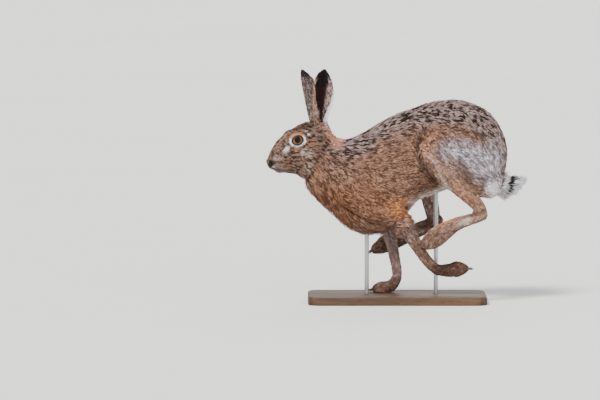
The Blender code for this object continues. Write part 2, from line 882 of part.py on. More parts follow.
def make_ear(name, side, head):
    open_x, open_y = EAR_OPENING[side]
    length = math.hypot(open_x, open_y)
    open_x, open_y = open_x / length, side * open_y / length
    outer = []
    inner = []
    for x, y, z, radius, wrap, wall in EAR[side]:
        centre_x = x + open_x * radius
        centre_y = side * y + open_y * radius
        spans = [math.radians(wrap) * (2 * step / (EAR_POINTS - 1) - 1) for step in range(EAR_POINTS)]
        for ring, reach in ((outer, radius), (inner, radius - wall)):
            row = []
            for span in spans:
                back = -math.cos(span) * reach
                out = math.sin(span) * reach
                row.append((
                    centre_x + back * open_x - out * open_y,
                    centre_y + back * open_y + out * open_x,
                    z,
                ))
            ring.append(row)
    rings = [outside + inside[::-1] for outside, inside in zip(outer, inner)]
    ear = loft(name, rings)
    combine(ear, "DIFFERENCE", [inflated(head, GAP)])
    keep_largest(ear)
    return ear


def lock_form(lock, side):
    """A flat tapered lock of hair with three sides, widest a third of the way along."""
    root = Vector((lock.root[0], side * lock.root[1], lock.root[2]))
    tip = Vector((lock.tip[0], side * lock.tip[1], lock.tip[2]))
    along = (tip - root).normalized()
    outwards = Vector((0, root.y, root.z - TAIL_MIDDLE))
    outwards = (outwards - along * along.dot(outwards)).normalized()
    flat = along.cross(outwards)
    rings = []
    for share, width in LOCK_SHAPE:
        middle = root.lerp(tip, share)
        half = lock.width / 2 * width
        rings.append([
            middle + flat * half - outwards * half * LOCK_THICK,
            middle + outwards * half * LOCK_THICK,
            middle - flat * half - outwards * half * LOCK_THICK,
        ])
    return loft("lock", rings)


def make_tail(torso):
    tail = limb_loft("tail", TAIL_CORE, LEFT, sides=12, steps=1)
    locks = []
    for lock in TAIL_LOCKS:
        for side in (LEFT, RIGHT) if lock.root[1] else (LEFT,):
            locks.append(lock_form(lock, side))
    combine(tail, "UNION", locks)
    combine(tail, "DIFFERENCE", [inflated(torso, GAP)])
    keep_largest(tail)
    return tail


# The stand

def rounded_rectangle(length, width, corner, inset):
    """The outline of the base, moved in by an inset, as points in the plane."""
    points = []
    for quarter in range(4):
        middle_x = (length / 2 - corner) * (1 if quarter in (0, 3) else -1)
        middle_y = (width / 2 - corner) * (1 if quarter in (0, 1) else -1)
        for step in range(CORNER_STEPS + 1):
            angle = math.pi / 2 * (quarter + step / CORNER_STEPS)
            points.append((
                middle_x + (corner - inset) * math.cos(angle),
                middle_y + (corner - inset) * math.sin(angle),
            ))
    return points


def make_base():
    rings = []
    foot_edge = BASE_EDGE / 2
    levels = (
        (-BASE_THICK, foot_edge),
        (foot_edge - BASE_THICK, 0),
        (-BASE_EDGE, 0),
        (0, BASE_EDGE),
    )
    for depth, inset in levels:
        outline = rounded_rectangle(BASE_LENGTH, BASE_WIDTH, BASE_CORNER, inset)
        rings.append([(x, y, depth) for x, y in outline])
    base = loft("stand_base", rings)
    sockets = [rod_form("socket", x, ROD_RADIUS + GAP, -ROD_SINK - GAP, 5) for x in (FRONT_ROD_X, REAR_ROD_X)]
    combine(base, "DIFFERENCE", sockets)
    return base


def rod_form(name, x, radius, low, high):
    rings = []
    for z in (low, high):
        ring = []
        for side in range(ROD_SIDES):
            angle = 2 * math.pi * side / ROD_SIDES
            ring.append((x + radius * math.cos(angle), radius * math.sin(angle), z))
        rings.append(ring)
    return loft(name, rings)


def make_rod(name, x, top, torso):
    rod = rod_form(name, x, ROD_RADIUS, -ROD_SINK, top)
    combine(rod, "DIFFERENCE", [inflated(torso, GAP)])
    keep_largest(rod)
    return rod


def paint(obj, colour, roughness):
    material = bpy.data.materials.new(obj.name)
    material.use_nodes = True
    shader = material.node_tree.nodes["Principled BSDF"]
    shader.inputs["Base Color"].default_value = (*colour, 1.0)
    shader.inputs["Roughness"].default_value = roughness
    obj.data.materials.clear()
    obj.data.materials.append(material)


def main():
    for obj in list(bpy.data.objects):
        bpy.data.objects.remove(obj)

    body = make_body()
    nodes = {}
    limb_blocks = []
    for name, (side, inner, outer, outline) in LIMB_OUTLINES.items():
        piece = copy_of(body, name)
        combine(piece, "INTERSECT", [limb_block(name, side, inner, outer, outline, -GAP / 2)])
        keep_largest(piece)
        nodes[name] = piece
        limb_blocks.append(limb_block(name, side, inner, outer, outline, GAP / 2))
    for side, word in ((LEFT, "left"), (RIGHT, "right")):
        hind = claws("claw", HIND_TOES[side], HIND_FOOT_Y, HIND_TOE_SPREAD, HIND_TOE_RADIUS, side)
        combine(nodes["hind_foot_" + word], "UNION", hind)
        fore = claws("claw", FORE_TOES[side], FORE_FOOT_Y, FORE_TOE_SPREAD, FORE_TOE_RADIUS, side)
        combine(nodes["forepaw_" + word], "UNION", fore)

    neck = copy_of(body, "neck")
    combine(neck, "INTERSECT", [prism("across", moved_outline(NECK_OUTLINE, -GAP / 2), -ACROSS, ACROSS)])
    head_and_neck = [(-300, 380), *NECK_CUT_LINE, (-300, 90)]
    limb_blocks.append(prism("front", moved_outline(head_and_neck, GAP / 2), -ACROSS, ACROSS))
    combine(body, "DIFFERENCE", limb_blocks)
    keep_largest(body)
    body.name = "torso"
    nodes["torso"] = body
    combine(neck, "DIFFERENCE", [limb_block(name, *LIMB_OUTLINES[name], GAP / 2) for name in UPPER_ARMS])
    keep_largest(neck)
    nodes["neck"] = neck

    nodes["head"] = make_head()
    for side, word in ((LEFT, "left"), (RIGHT, "right")):
        nodes["ear_" + word] = make_ear("ear_" + word, side, nodes["head"])
        nodes["eye_" + word] = make_eye("eye_" + word, side)
    nodes["tail"] = make_tail(nodes["torso"])
    nodes["stand_base"] = make_base()
    nodes["stand_rod_front"] = make_rod("stand_rod_front", FRONT_ROD_X, FRONT_ROD_TOP, nodes["torso"])
    nodes["stand_rod_rear"] = make_rod("stand_rod_rear", REAR_ROD_X, REAR_ROD_TOP, nodes["torso"])

    for name, obj in nodes.items():
        obj.name = name
        if name.startswith("eye"):
            paint(obj, EYE_COLOUR, 0.12)
        elif name == "stand_base":
            paint(obj, WOOD_COLOUR, 0.5)
        elif name.startswith("stand_rod"):
            paint(obj, STEEL_COLOUR, 0.35)
        else:
            paint(obj, COAT_COLOUR, 0.85)


main()
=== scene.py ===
# Life-size model of a brown hare in full run, with its coat, on a plain display stand

import math
from collections import namedtuple

import bmesh
import bpy
import numpy as np
from mathutils import Matrix, Vector
from mathutils.bvhtree import BVHTree
from mathutils.kdtree import KDTree


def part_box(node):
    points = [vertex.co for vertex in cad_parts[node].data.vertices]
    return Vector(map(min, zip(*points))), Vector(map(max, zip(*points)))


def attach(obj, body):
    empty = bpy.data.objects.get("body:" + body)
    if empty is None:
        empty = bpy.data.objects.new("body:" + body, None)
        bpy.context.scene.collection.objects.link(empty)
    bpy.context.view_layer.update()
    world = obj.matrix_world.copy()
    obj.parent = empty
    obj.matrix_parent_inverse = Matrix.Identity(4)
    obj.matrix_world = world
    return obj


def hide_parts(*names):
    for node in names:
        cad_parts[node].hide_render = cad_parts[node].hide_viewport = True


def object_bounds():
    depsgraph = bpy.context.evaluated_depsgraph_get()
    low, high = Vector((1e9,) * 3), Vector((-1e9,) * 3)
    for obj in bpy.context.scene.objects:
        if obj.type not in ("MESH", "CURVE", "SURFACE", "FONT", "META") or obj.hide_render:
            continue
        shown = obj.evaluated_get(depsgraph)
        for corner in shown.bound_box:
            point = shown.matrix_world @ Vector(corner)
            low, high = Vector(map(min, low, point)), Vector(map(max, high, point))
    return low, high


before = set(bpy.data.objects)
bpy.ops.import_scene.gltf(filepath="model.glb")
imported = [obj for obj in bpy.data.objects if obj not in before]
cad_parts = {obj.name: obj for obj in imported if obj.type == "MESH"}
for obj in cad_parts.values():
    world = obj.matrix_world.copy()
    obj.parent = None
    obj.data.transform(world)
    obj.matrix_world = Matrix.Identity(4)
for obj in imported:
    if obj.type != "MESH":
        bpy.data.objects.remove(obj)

CAD_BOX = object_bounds()
MM = 0.001
BASE_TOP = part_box("stand_base")[1].z / MM
ROOM_ABOVE_BASE = 0.3
SEED = 20251
LEFT, RIGHT = -1, 1
SIDES = {"left": LEFT, "right": RIGHT}

# The head is turned a little towards the animal's left, about the joint with the neck
HEAD_TURN = math.radians(10.0)
HEAD_PIVOT = -132.0
SIDE_RISE = 0.07  # how much lower the photo shows a point for each unit that it lies nearer

FLESH = [
    "torso", "neck", "head", "ear_left", "ear_right", "thigh_left", "thigh_right",
    "shank_left", "shank_right", "hind_foot_left", "hind_foot_right",
    "upper_foreleg_left", "upper_foreleg_right", "forearm_left", "forearm_right",
    "forepaw_left", "forepaw_right", "tail",
]

# Sizes of the skin's mesh, in millimetres
SKIN_VOXEL = 1.15
SKIN_CLOSING = 0.25  # each node grows this much, so that the thin cuts between nodes close
SKIN_TRIANGLES = 150000
SKIN_SMOOTHING = 3
KIND_EASING = 45  # rounds of averaging that blend the markings of neighbouring parts

# How the coat grows on each part: how far the skin lies inside the solids, a tuft's length and width,
# how steeply it stands in degrees, and how many tufts grow on a square centimetre
Growth = namedtuple("Growth", "depth length width lift density")
GROWTH = {
    "torso": Growth(4.2, 14.5, 1.45, 17, 50),
    "neck": Growth(4.0, 13.0, 1.35, 20, 60),
    "head": Growth(1.6, 6.0, 0.85, 15, 84),
    "ear": Growth(0.35, 4.5, 0.85, 9, 52),
    "thigh": Growth(3.4, 12.5, 1.45, 15, 52),
    "shank": Growth(2.0, 8.5, 1.15, 13, 48),
    "hind_foot": Growth(1.6, 6.5, 1.0, 12, 50),
    "upper_foreleg": Growth(3.2, 12.0, 1.4, 18, 50),
    "forearm": Growth(1.5, 6.5, 1.0, 12, 50),
    "forepaw": Growth(1.4, 5.5, 0.95, 12, 52),
    "tail": Growth(1.0, 22.0, 1.25, 13, 150),
}

# The lie of the coat in the side view: a place and the way the hair points there, as
# along the body, height, along, upwards
LIE_OF_BODY = [
    (-135, 282, 1, -0.15), (-105, 282, 1, 0.05), (-70, 292, 1, 0.3), (-30, 315, 1, 0.3),
    (20, 338, 1, 0.2), (70, 354, 1, 0.02), (115, 356, 1, -0.2), (155, 342, 0.8, -0.55),
    (185, 305, 0.45, -0.9), (200, 265, 0.15, -1), (198, 230, 0.25, -0.9),
    (-135, 245, 0.8, -0.5), (-105, 235, 0.85, -0.5), (-65, 245, 1, -0.25), (-20, 245, 1, -0.2),
    (30, 265, 1, -0.15), (30, 220, 1, -0.1), (0, 185, 1, 0.05), (-30, 210, 1, -0.2),
    (-168, 222, 0.6, -0.8), (-150, 190, 0.6, -0.8), (-120, 155, 0.85, -0.6), (-85, 125, 1, -0.2),
    (-45, 113, 1, 0.2), (-5, 130, 0.8, 0.5), (25, 165, 0.8, 0.6), (60, 188, 1, 0.25),
    (105, 200, 1, 0.05), (150, 205, 1, -0.05),
    (60, 305, 0.5, -0.7), (90, 325, 0.9, -0.4), (130, 322, 0.85, -0.55), (165, 285, 0.6, -0.8),
    (125, 285, 0.75, -0.65), (85, 280, 0.65, -0.75), (140, 245, 0.6, -0.8), (172, 240, 0.5, -0.85),
    (48, 262, 0.35, -0.9), (62, 232, 0.6, -0.8), (100, 235, 0.7, -0.7), (180, 215, 0.5, -0.8),
    (-105, 200, 0.65, -0.7), (-72, 180, 0.7, -0.65), (-40, 160, 0.8, -0.6), (-8, 143, 0.85, -0.5),
]
LIE_REACH = 22.0

LIE_OF_HEAD = [
    (-236, 250, 0.45, 0.9), (-225, 270, 0.75, 0.65), (-210, 288, 0.85, 0.5), (-192, 303, 0.95, 0.3),
    (-170, 315, 1, 0.1), (-150, 318, 1, 0.1), (-228, 240, 0.95, 0.1), (-215, 250, 1, 0.25),
    (-215, 232, 1, -0.05), (-195, 250, 1, -0.05), (-195, 228, 1, -0.1), (-170, 225, 0.9, -0.4),
    (-175, 262, 1, -0.15), (-150, 255, 0.95, -0.35), (-150, 290, 0.95, -0.2), (-165, 290, 1, -0.05),
    (-130, 285, 0.8, -0.5), (-127, 300, 0.6, -0.7), (-145, 312, 0.7, 0.6),
]
LIE_REACH_HEAD = 9.0

# The middle line of each part of the legs, from the top down: along the body, height. A foot shares the
# line of the part above it.
LINES = {
    "shank_left": [(52, 255), (66, 242), (86, 224), (110, 203), (134, 182), (153, 165), (158, 152),
                   (138, 144.5), (118, 138), (102, 131), (82, 118), (62, 104), (42, 93)],
    "shank_right": [(40, 274), (44, 253), (50, 223), (57, 192), (64, 162), (69, 140), (70, 131),
                    (52, 119.5), (34, 111.5), (16, 103), (-5, 94), (-25, 86), (-45, 77)],
    "forearm_left": [(-5, 158), (8, 140), (19, 119), (35, 93), (51, 69), (64, 53), (75, 47), (98, 46),
                     (115, 48), (132, 50)],
    "forearm_right": [(-27, 158), (-20, 136), (-14, 112), (-7, 80), (-1, 50), (1, 34), (-3, 21), (-14, 12),
                      (-27, 9), (-44, 8)],
    "thigh_left": [(200, 258), (150, 262), (95, 264), (52, 256)],
    "thigh_right": [(200, 258), (150, 264), (88, 272), (42, 276)],
    "upper_foreleg_left": [(-118, 218), (-60, 181), (-8, 150), (13, 137)],
    "upper_foreleg_right": [(-118, 218), (-72, 181), (-30, 148), (-15, 133)],
}
for side_name in SIDES:
    LINES["hind_foot_" + side_name] = LINES["shank_" + side_name]
    LINES["forepaw_" + side_name] = LINES["forearm_" + side_name]
LOWER_LEGS = ("shank", "hind_foot", "forearm", "forepaw")
FEET = ("hind_foot", "forepaw")

# How far to the side the middle of each part of the legs lies
LEG_MIDDLES = {"shank": 58.0, "hind_foot": 58.0, "forearm": 25.5, "forepaw": 25.5, "thigh": 40.0,
               "upper_foreleg": 32.0}

# Named tones of the coat, as shown on a screen, from 0 to 255
TONES = {
    "black": (32, 26, 28),
    "dark": (70, 53, 48),
    "brown": (138, 110, 98),
    "back": (158, 136, 132),
    "flank": (146, 108, 88),
    "umber": (116, 88, 74),
    "buff": (214, 190, 176),
    "cream": (216, 200, 188),
    "white": (250, 248, 250),
    "silver": (204, 193, 202),
    "grey": (114, 100, 98),
    "ash": (170, 144, 140),
    "rufous": (172, 118, 84),
    "orange": (200, 134, 90),
    "pink": (214, 152, 130),
    "chest": (138, 90, 62),
    "sole": (86, 60, 48),
    "tan": (170, 134, 114),
    "face": (132, 103, 88),
    "ear": (56, 30, 32),
}


def tone(name):
    """A tone in the linear values that Blender works in."""
    screen = np.array(TONES[name]) / 255
    return np.where(screen <= 0.04045, screen / 12.92, ((screen + 0.055) / 1.055) ** 2.4)


# Shader maths as plain expressions

class Value:
    """A number that varies over a surface: a socket in a material's nodes, with arithmetic."""

    def __init__(self, finish, socket):
        self.finish = finish
        self.socket = socket

    def maths(self, operation, first, second):
        return self.finish.node("Math", {"operation": operation}, {0: first, 1: second})

    def __add__(self, other):
        return self.maths("ADD", self, other)

    def __radd__(self, other):
        return self.maths("ADD", other, self)

    def __sub__(self, other):
        return self.maths("SUBTRACT", self, other)

    def __rsub__(self, other):
        return self.maths("SUBTRACT", other, self)

    def __mul__(self, other):
        return self.maths("MULTIPLY", self, other)

    def __rmul__(self, other):
        return self.maths("MULTIPLY", other, self)

    def __pow__(self, other):
        return self.maths("POWER", self, other)


class Finish:
    """A material that is built from nodes."""

    def __init__(self, name):
        self.material = bpy.data.materials.new(name)
        self.material.use_nodes = True
        self.tree = self.material.node_tree
        self.tree.nodes.clear()

    def node(self, kind, settings, sockets, out=0):
        made = self.tree.nodes.new("ShaderNode" + kind)
        for name, value in settings.items():
            setattr(made, name, value)
        for name, value in sockets.items():
            socket = made.inputs[name]
            if isinstance(value, Value):
                self.tree.links.new(value.socket, socket)
            else:
                socket.default_value = value
        return Value(self, made.outputs[out])

    def place(self):
        return self.node("TexCoord", {}, {}, "Object")

    def attribute(self, name):
        return self.node("Attribute", {"attribute_name": name}, {}, "Color")

    def mix(self, factor, first, second, blend="MIX"):
        settings = {"data_type": "RGBA", "blend_type": blend}
        return self.node("Mix", settings, {0: factor, 6: first, 7: second}, 2)

    def smooth(self, value, low, high):
        settings = {"interpolation_type": "SMOOTHSTEP"}
        return self.node("MapRange", settings, {"Value": value, "From Min": low, "From Max": high})

    def noise(self, scale, detail=2.0, place=None, roughness=0.5):
        sockets = {"Vector": place or self.place(), "Scale": scale, "Detail": detail, "Roughness": roughness}
        return self.node("TexNoise", {}, sockets, "Fac")

    def vector(self, operation, values, out="Vector"):
        return self.node("VectorMath", {"operation": operation}, dict(enumerate(values)), out)

    def stretched(self, scale):
        return self.vector("MULTIPLY", (self.place(), scale))

    def bump(self, height, distance, strength=1.0):
        return self.node("Bump", {}, {"Height": height, "Distance": distance, "Strength": strength}, "Normal")

    def surface(self, colour, roughness, more):
        sockets = {"Base Color": colour, "Roughness": roughness, **more}
        shader = self.node("BsdfPrincipled", {}, sockets, "BSDF")
        output = self.tree.nodes.new("ShaderNodeOutputMaterial")
        self.tree.links.new(shader.socket, output.inputs["Surface"])
        return self.material


# Numbers for many points at once

def smoothstep(values, low, high):
    share = np.clip((values - low) / (high - low), 0, 1)
    return share * share * (3 - 2 * share)


def fading(values, low, high):
    return 1 - smoothstep(values, low, high)


def mixed(first, second, share):
    return first + (second - first) * share


def unit(vectors):
    return vectors / np.maximum(np.linalg.norm(vectors, axis=-1, keepdims=True), 1e-9)


def from_table(values, pairs):
    """Values read off a table of pairs, with straight lines between them."""
    return np.interp(values, *zip(*pairs))


def turned(points, pivot=0.0, way=1):
    """Points or directions of a head that looks straight ahead, turned as the head is, or back with -1."""
    cos, sin = math.cos(HEAD_TURN), math.sin(HEAD_TURN) * way
    x = points[:, 0] - pivot
    return np.stack([pivot + cos * x - sin * points[:, 1], sin * x + cos * points[:, 1], points[:, 2]], 1)


def unturned(points):
    return turned(points, HEAD_PIVOT, -1)


def lengths_along(line):
    """The length of each stretch of a line, and how far along the line each of its corners lies."""
    lengths = np.linalg.norm(np.diff(line, axis=0), axis=1)
    return lengths, np.concatenate([[0], np.cumsum(lengths)])


def along_line(points, line):
    """For each point, how far along a line in the side view it lies, how far to the line's left, and the
    direction of the line there."""
    line = np.array(line, float)
    lengths, starts = lengths_along(line)
    best = np.full(len(points), np.inf)
    share = np.zeros(len(points))
    aside = np.zeros(len(points))
    heading = np.zeros((len(points), 2))
    for index, length in enumerate(lengths):
        way = (line[index + 1] - line[index]) / length
        off = points - line[index]
        run = np.clip(off @ way, 0, length)
        gap = np.linalg.norm(off - run[:, None] * way, axis=1)
        near = gap < best
        best[near] = gap[near]
        share[near] = (starts[index] + run[near]) / starts[-1]
        aside[near] = way[0] * off[near, 1] - way[1] * off[near, 0]
        heading[near] = way
    return share, aside, heading


def on_line(line, share, aside):
    """The places in the side view at shares along a line and distances to its left."""
    line = np.array(line, float)
    lengths, starts = lengths_along(line)
    run = np.clip(share, 0, 1) * starts[-1]
    index = np.clip(np.searchsorted(starts, run, "right") - 1, 0, len(lengths) - 1)
    way = np.diff(line, axis=0)[index] / lengths[index][:, None]
    normal = np.stack([-way[:, 1], way[:, 0]], 1)
    return line[index] + way * (run - starts[index])[:, None] + normal * aside[:, None]


# Meshes

def linked(name, data):
    """A new object in the scene, from its mesh, light or camera."""
    made = bpy.data.objects.new(name, data)
    bpy.context.scene.collection.objects.link(made)
    return made


def mesh_piece(name, points, corners, sizes):
    """A mesh object from its points in metres, the points of its faces' corners in a row, and how many
    corners each face has."""
    mesh = bpy.data.meshes.new(name)
    mesh.vertices.add(len(points))
    mesh.vertices.foreach_set("co", np.asarray(points, np.float32).ravel())
    mesh.loops.add(len(corners))
    mesh.loops.foreach_set("vertex_index", np.asarray(corners, np.int32))
    mesh.polygons.add(len(sizes))
    starts = np.concatenate([[0], np.cumsum(sizes)[:-1]])
    mesh.polygons.foreach_set("loop_start", starts.astype(np.int32))
    mesh.update(calc_edges=True)
    mesh.polygons.foreach_set("use_smooth", np.full(len(sizes), True))
    return linked(name, mesh)


def piece_from(name, work, smooth=True):
    mesh = bpy.data.meshes.new(name)
    work.to_mesh(mesh)
    work.free()
    mesh.polygons.foreach_set("use_smooth", np.full(len(mesh.polygons), smooth))
    return linked(name, mesh)


def modify(piece, kind, **settings):
    change = piece.modifiers.new(kind.lower(), kind)
    for name, value in settings.items():
        setattr(change, name, value)


def apply_modifiers(piece):
    graph = bpy.context.evaluated_depsgraph_get()
    mesh = bpy.data.meshes.new_from_object(piece.evaluated_get(graph))
    piece.modifiers.clear()
    old = piece.data
    piece.data = mesh
    bpy.data.meshes.remove(old)


def point_colours(piece, name, values):
    layer = piece.data.attributes.new(name, "FLOAT_COLOR", "POINT")
    whole = np.ones((len(values), 4), np.float32)
    whole[:, :values.shape[1]] = values
    layer.data.foreach_set("color", whole.ravel())


def settle(piece, material, slot, *nodes):
    """Gives a finished piece its material and hands it to the frame."""
    piece.data.materials.append(material)
    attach(piece, "root")
    if nodes:
        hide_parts(*nodes)


def sphere(work, middle, radius, segments, rows):
    bmesh.ops.create_uvsphere(work, u_segments=segments, v_segments=rows, radius=radius,
                              matrix=Matrix.Translation(middle))


def ring_of(work, middle, way, radius, sides):
    """The corners of a ring round a place, across the way given."""
    turn = way.to_track_quat("Z", "Y")
    angles = [2 * math.pi * side / sides for side in range(sides)]
    return [work.verts.new(middle + turn @ Vector((math.cos(angle), math.sin(angle), 0)) * radius)
            for angle in angles]


def tube(work, path, radii, sides):
    """A round closed form along a path, each ring set across the way the path runs there."""
    last = len(path) - 1
    rings = []
    for index, middle in enumerate(path):
        way = path[min(index + 1, last)] - path[max(index - 1, 0)]
        rings.append(ring_of(work, middle, way, radii[index], sides))
    for lower, upper in zip(rings, rings[1:]):
        for side in range(sides):
            after = (side + 1) % sides
            work.faces.new((lower[side], lower[after], upper[after], upper[side]))
    work.faces.new(rings[0][::-1])
    work.faces.new(rings[-1])


def closed_tube(work, path, radii, sides):
    """A round form along a path that ends where it starts."""
    count = len(path)
    rings = []
    for index, middle in enumerate(path):
        way = (path[(index + 1) % count] - path[index - 1]).normalized()
        rings.append(ring_of(work, middle, way, radii[index], sides))
    for index, ring in enumerate(rings):
        after = rings[(index + 1) % count]
        start = min(range(sides), key=lambda shift: (after[shift].co - ring[0].co).length)
        for side in range(sides):
            nearer, further = (side + start) % sides, (side + 1 + start) % sides
            work.faces.new((ring[side], ring[(side + 1) % sides], after[further], after[nearer]))


# The skin: one surface over all nodes of flesh

EYES = {}
for side_name, eye_side in SIDES.items():
    low_corner, high_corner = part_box("eye_" + side_name)
    EYES[eye_side] = ((low_corner + high_corner) / 2, (high_corner.z - low_corner.z) / 2)
EYE_INSIDE = 0.7  # how far the skin's filling under each eye stays inside the eyeball

TAIL_CORE = [((180, 0, 212), 13), ((190, 0, 204), 12), ((200, 0, 202), 10), ((209, 0, 203), 8),
             ((217, 0, 205.5), 6), ((223, 0, 208), 4)]


def ground(x, y, z):
    """A place in metres from one in millimetres with its height above the top of the base."""
    return Vector((x * MM, y * MM, (z + BASE_TOP) * MM))


def flesh():
    work = bmesh.new()
    for name in FLESH:
        if name == "tail":
            continue
        part = bmesh.new()
        part.from_mesh(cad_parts[name].data)
        bmesh.ops.remove_doubles(part, verts=part.verts, dist=1e-6)
        part.normal_update()
        for vertex in part.verts:
            vertex.co += vertex.normal * SKIN_CLOSING * MM
        held = bpy.data.meshes.new("part")
        part.to_mesh(held)
        part.free()
        work.from_mesh(held)
        bpy.data.meshes.remove(held)
    for middle, radius in EYES.values():
        sphere(work, middle, radius - EYE_INSIDE * MM, 32, 20)
    for middle, radius in TAIL_CORE:
        sphere(work, ground(*middle), radius * MM, 24, 16)
    piece = piece_from("pelt", work)
    modify(piece, "REMESH", mode="VOXEL", voxel_size=SKIN_VOXEL * MM)
    modify(piece, "SMOOTH", factor=0.5, iterations=SKIN_SMOOTHING)
    apply_modifiers(piece)
    piece.data.calc_loop_triangles()
    modify(piece, "DECIMATE", ratio=min(1.0, SKIN_TRIANGLES / len(piece.data.loop_triangles)))
    apply_modifiers(piece)
    return piece


def arrays_of(mesh):
    """A mesh's points in millimetres with heights above the base, its normals and its triangles."""
    points = np.empty(len(mesh.vertices) * 3, np.float32)
    mesh.vertices.foreach_get("co", points)
    points = points.reshape(-1, 3).astype(float) / MM
    points[:, 2] -= BASE_TOP
    normals = np.empty(len(mesh.vertices) * 3, np.float32)
    mesh.vertices.foreach_get("normal", normals)
    mesh.calc_loop_triangles()
    triangles = np.empty(len(mesh.loop_triangles) * 3, np.int32)
    mesh.loop_triangles.foreach_get("vertices", triangles)
    return points, normals.reshape(-1, 3).astype(float), triangles.reshape(-1, 3)


def nearest_nodes(points):
    """The number in FLESH of the node whose surface is nearest to each point."""
    corners = []
    faces = []
    owners = []
    for index, name in enumerate(FLESH):
        node_points, _normals, triangles = arrays_of(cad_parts[name].data)
        faces.extend((triangles + len(corners)).tolist())
        corners.extend(node_points.tolist())
        owners.extend([index] * len(triangles))
    tree = BVHTree.FromPolygons(corners, faces)
    return np.array([owners[tree.find_nearest(point)[2]] for point in points.tolist()])


def kind_of(name):
    return name.replace("_left", "").replace("_right", "")


KINDS = [kind_of(name) for name in FLESH]
KIND_ORDER = sorted(set(KINDS))
KIND_OF_NODE = np.array([KIND_ORDER.index(kind) for kind in KINDS])


def among(nodes, *kinds):
    """Which points belong to nodes of these kinds."""
    return np.isin(KIND_OF_NODE[nodes], [KIND_ORDER.index(kind) for kind in kinds])


def growth(nodes, field):
    """One number of how the coat grows, for each point by its node."""
    table = np.array([getattr(GROWTH[kind], field) for kind in KINDS], float)
    return table[nodes]


def eased(values, edges, rounds):
    """Values on the skin's points, averaged with their neighbours a number of times."""
    count = len(values)
    ends = np.concatenate([edges[:, 0], edges[:, 1]])
    others = np.concatenate([edges[:, 1], edges[:, 0]])
    many = np.bincount(ends, minlength=count)
    for _round in range(rounds):
        total = np.bincount(ends, weights=values[others], minlength=count)
        values = (values + total) / (1 + many)
    return values


EYE_LEAN = math.radians(-12)
EYE_OPENING = (10.6, 8.7)  # half the length and half the height of the eye's opening
RIM_OF_FUR = (1.05, 1.12)  # where the coat starts round the eye, as shares of its opening


def eye_middle(side):
    return np.array(EYES[side][0]) / MM - np.array([0, 0, BASE_TOP])


def eye_gap(points):
    """How far each point lies from the middle of the nearer eye."""
    return np.min([np.linalg.norm(points - eye_middle(side), axis=1) for side in EYES], axis=0)


def head_way(x, y, z):
    """A direction in the turned head, from one as if the head looked straight ahead."""
    return Vector(turned(np.array([[x, y, z]]))[0]).normalized()


def eye_ways(side):
    """The directions straight out of the eye's opening, along it towards the nose, and up across it."""
    cos, sin = math.cos(EYE_LEAN), math.sin(EYE_LEAN)
    return head_way(0, side, 0), head_way(-cos, 0, sin), head_way(sin, 0, cos)


def round_the_eye(points):
    """How far each point lies from the nearer eye's middle as a share of its opening, and how far up."""
    ring = np.full(len(points), 9.0)
    rise = np.zeros(len(points))
    for side in EYES:
        off = points - eye_middle(side)
        out, ahead, up = (off @ np.array(way) for way in eye_ways(side))
        found = np.hypot(ahead / EYE_OPENING[0], up / EYE_OPENING[1])
        near = (out > 0) & (found < ring)
        ring[near] = found[near]
        rise[near] = up[near]
    return ring, rise


# How deep the skin lies on the face, as a share of the depth on the head, by the place along the body
FACE_DEPTHS = ((-240, 0.25), (-225, 0.3), (-190, 0.6), (-150, 1.0))
SOLE_DEPTH = 0.6
DEPTH_EASING = 14  # rounds of averaging


def make_skin():
    """The skin, the node of each of its points, and how much each point belongs to each kind of part."""
    piece = flesh()
    mesh = piece.data
    points, normals, _triangles = arrays_of(mesh)
    nodes = nearest_nodes(points)
    edges = np.empty(len(mesh.edges) * 2, np.int32)
    mesh.edges.foreach_get("vertices", edges)
    edges = edges.reshape(-1, 2)
    depth = growth(nodes, "depth") + SKIN_CLOSING
    face = from_table(unturned(points)[:, 0], FACE_DEPTHS)
    depth = np.where(among(nodes, "head"), depth * face, depth)
    depth *= smoothstep(eye_gap(points), 15.5, 24.0)
    sole = (points[:, 2] < 6) & (normals[:, 2] < -0.3)
    depth = np.where(sole, SOLE_DEPTH, depth)
    depth = eased(depth, edges, DEPTH_EASING)
    shares = np.stack([eased(among(nodes, kind).astype(float), edges, KIND_EASING) for kind in KIND_ORDER], 1)
    points -= normals * depth[:, None]
    points[:, 2] += BASE_TOP
    mesh.vertices.foreach_set("co", (points * MM).astype(np.float32).ravel())
    mesh.update()
    return piece, nodes, shares


# Where on the animal a point lies

def side_view(points, nodes):
    """For each point its place in the photo's side view of the near side: along the body and height, in
    millimetres. Points of the far side and of the legs there get the place of their twins."""
    sideways = np.abs(points[:, 1])
    along = points[:, 0].copy()
    height = points[:, 2].copy()
    for index, name in enumerate(FLESH):
        here = nodes == index
        if not here.any():
            continue
        if name == "head":
            ahead = unturned(points[here])
            ahead[:, 1] = -np.abs(ahead[:, 1])
            along[here] = turned(ahead, HEAD_PIVOT)[:, 0]
        elif name in LINES and name.endswith("right"):
            share, aside, _heading = along_line(points[here][:, [0, 2]], LINES[name])
            along[here], height[here] = on_line(LINES[name.replace("right", "left")], share, aside).T
    return along, height - SIDE_RISE * sideways


# The ears, as rolled sheets: height, the place of the roll's axis along and across, and its radius
EAR_AXES = {
    "ear_left": ((298, -141.8, -13.6, 12), (322, -142.4, -15.6, 12.6), (350, -137, -25.9, 19.2),
                 (368, -133.6, -30.9, 22.4), (386, -132.8, -33.1, 22), (415, -132.9, -26.8, 6)),
    "ear_right": ((298, -143, 12, 12), (322, -150, 13.8, 12.6), (350, -150.6, 22.7, 18.5),
                  (368, -151.7, 26.9, 21), (385, -156, 28.7, 20), (413, -171.9, 25.6, 5.5)),
}
EAR_OPENINGS = {"ear_left": (0.60, -0.80), "ear_right": (0.75, 0.66)}
EAR_FOOT = 300.0
EAR_TOP = 414.0
INSIDE_EAR = 0.91  # how far out from the roll's axis its inner face starts, as a share


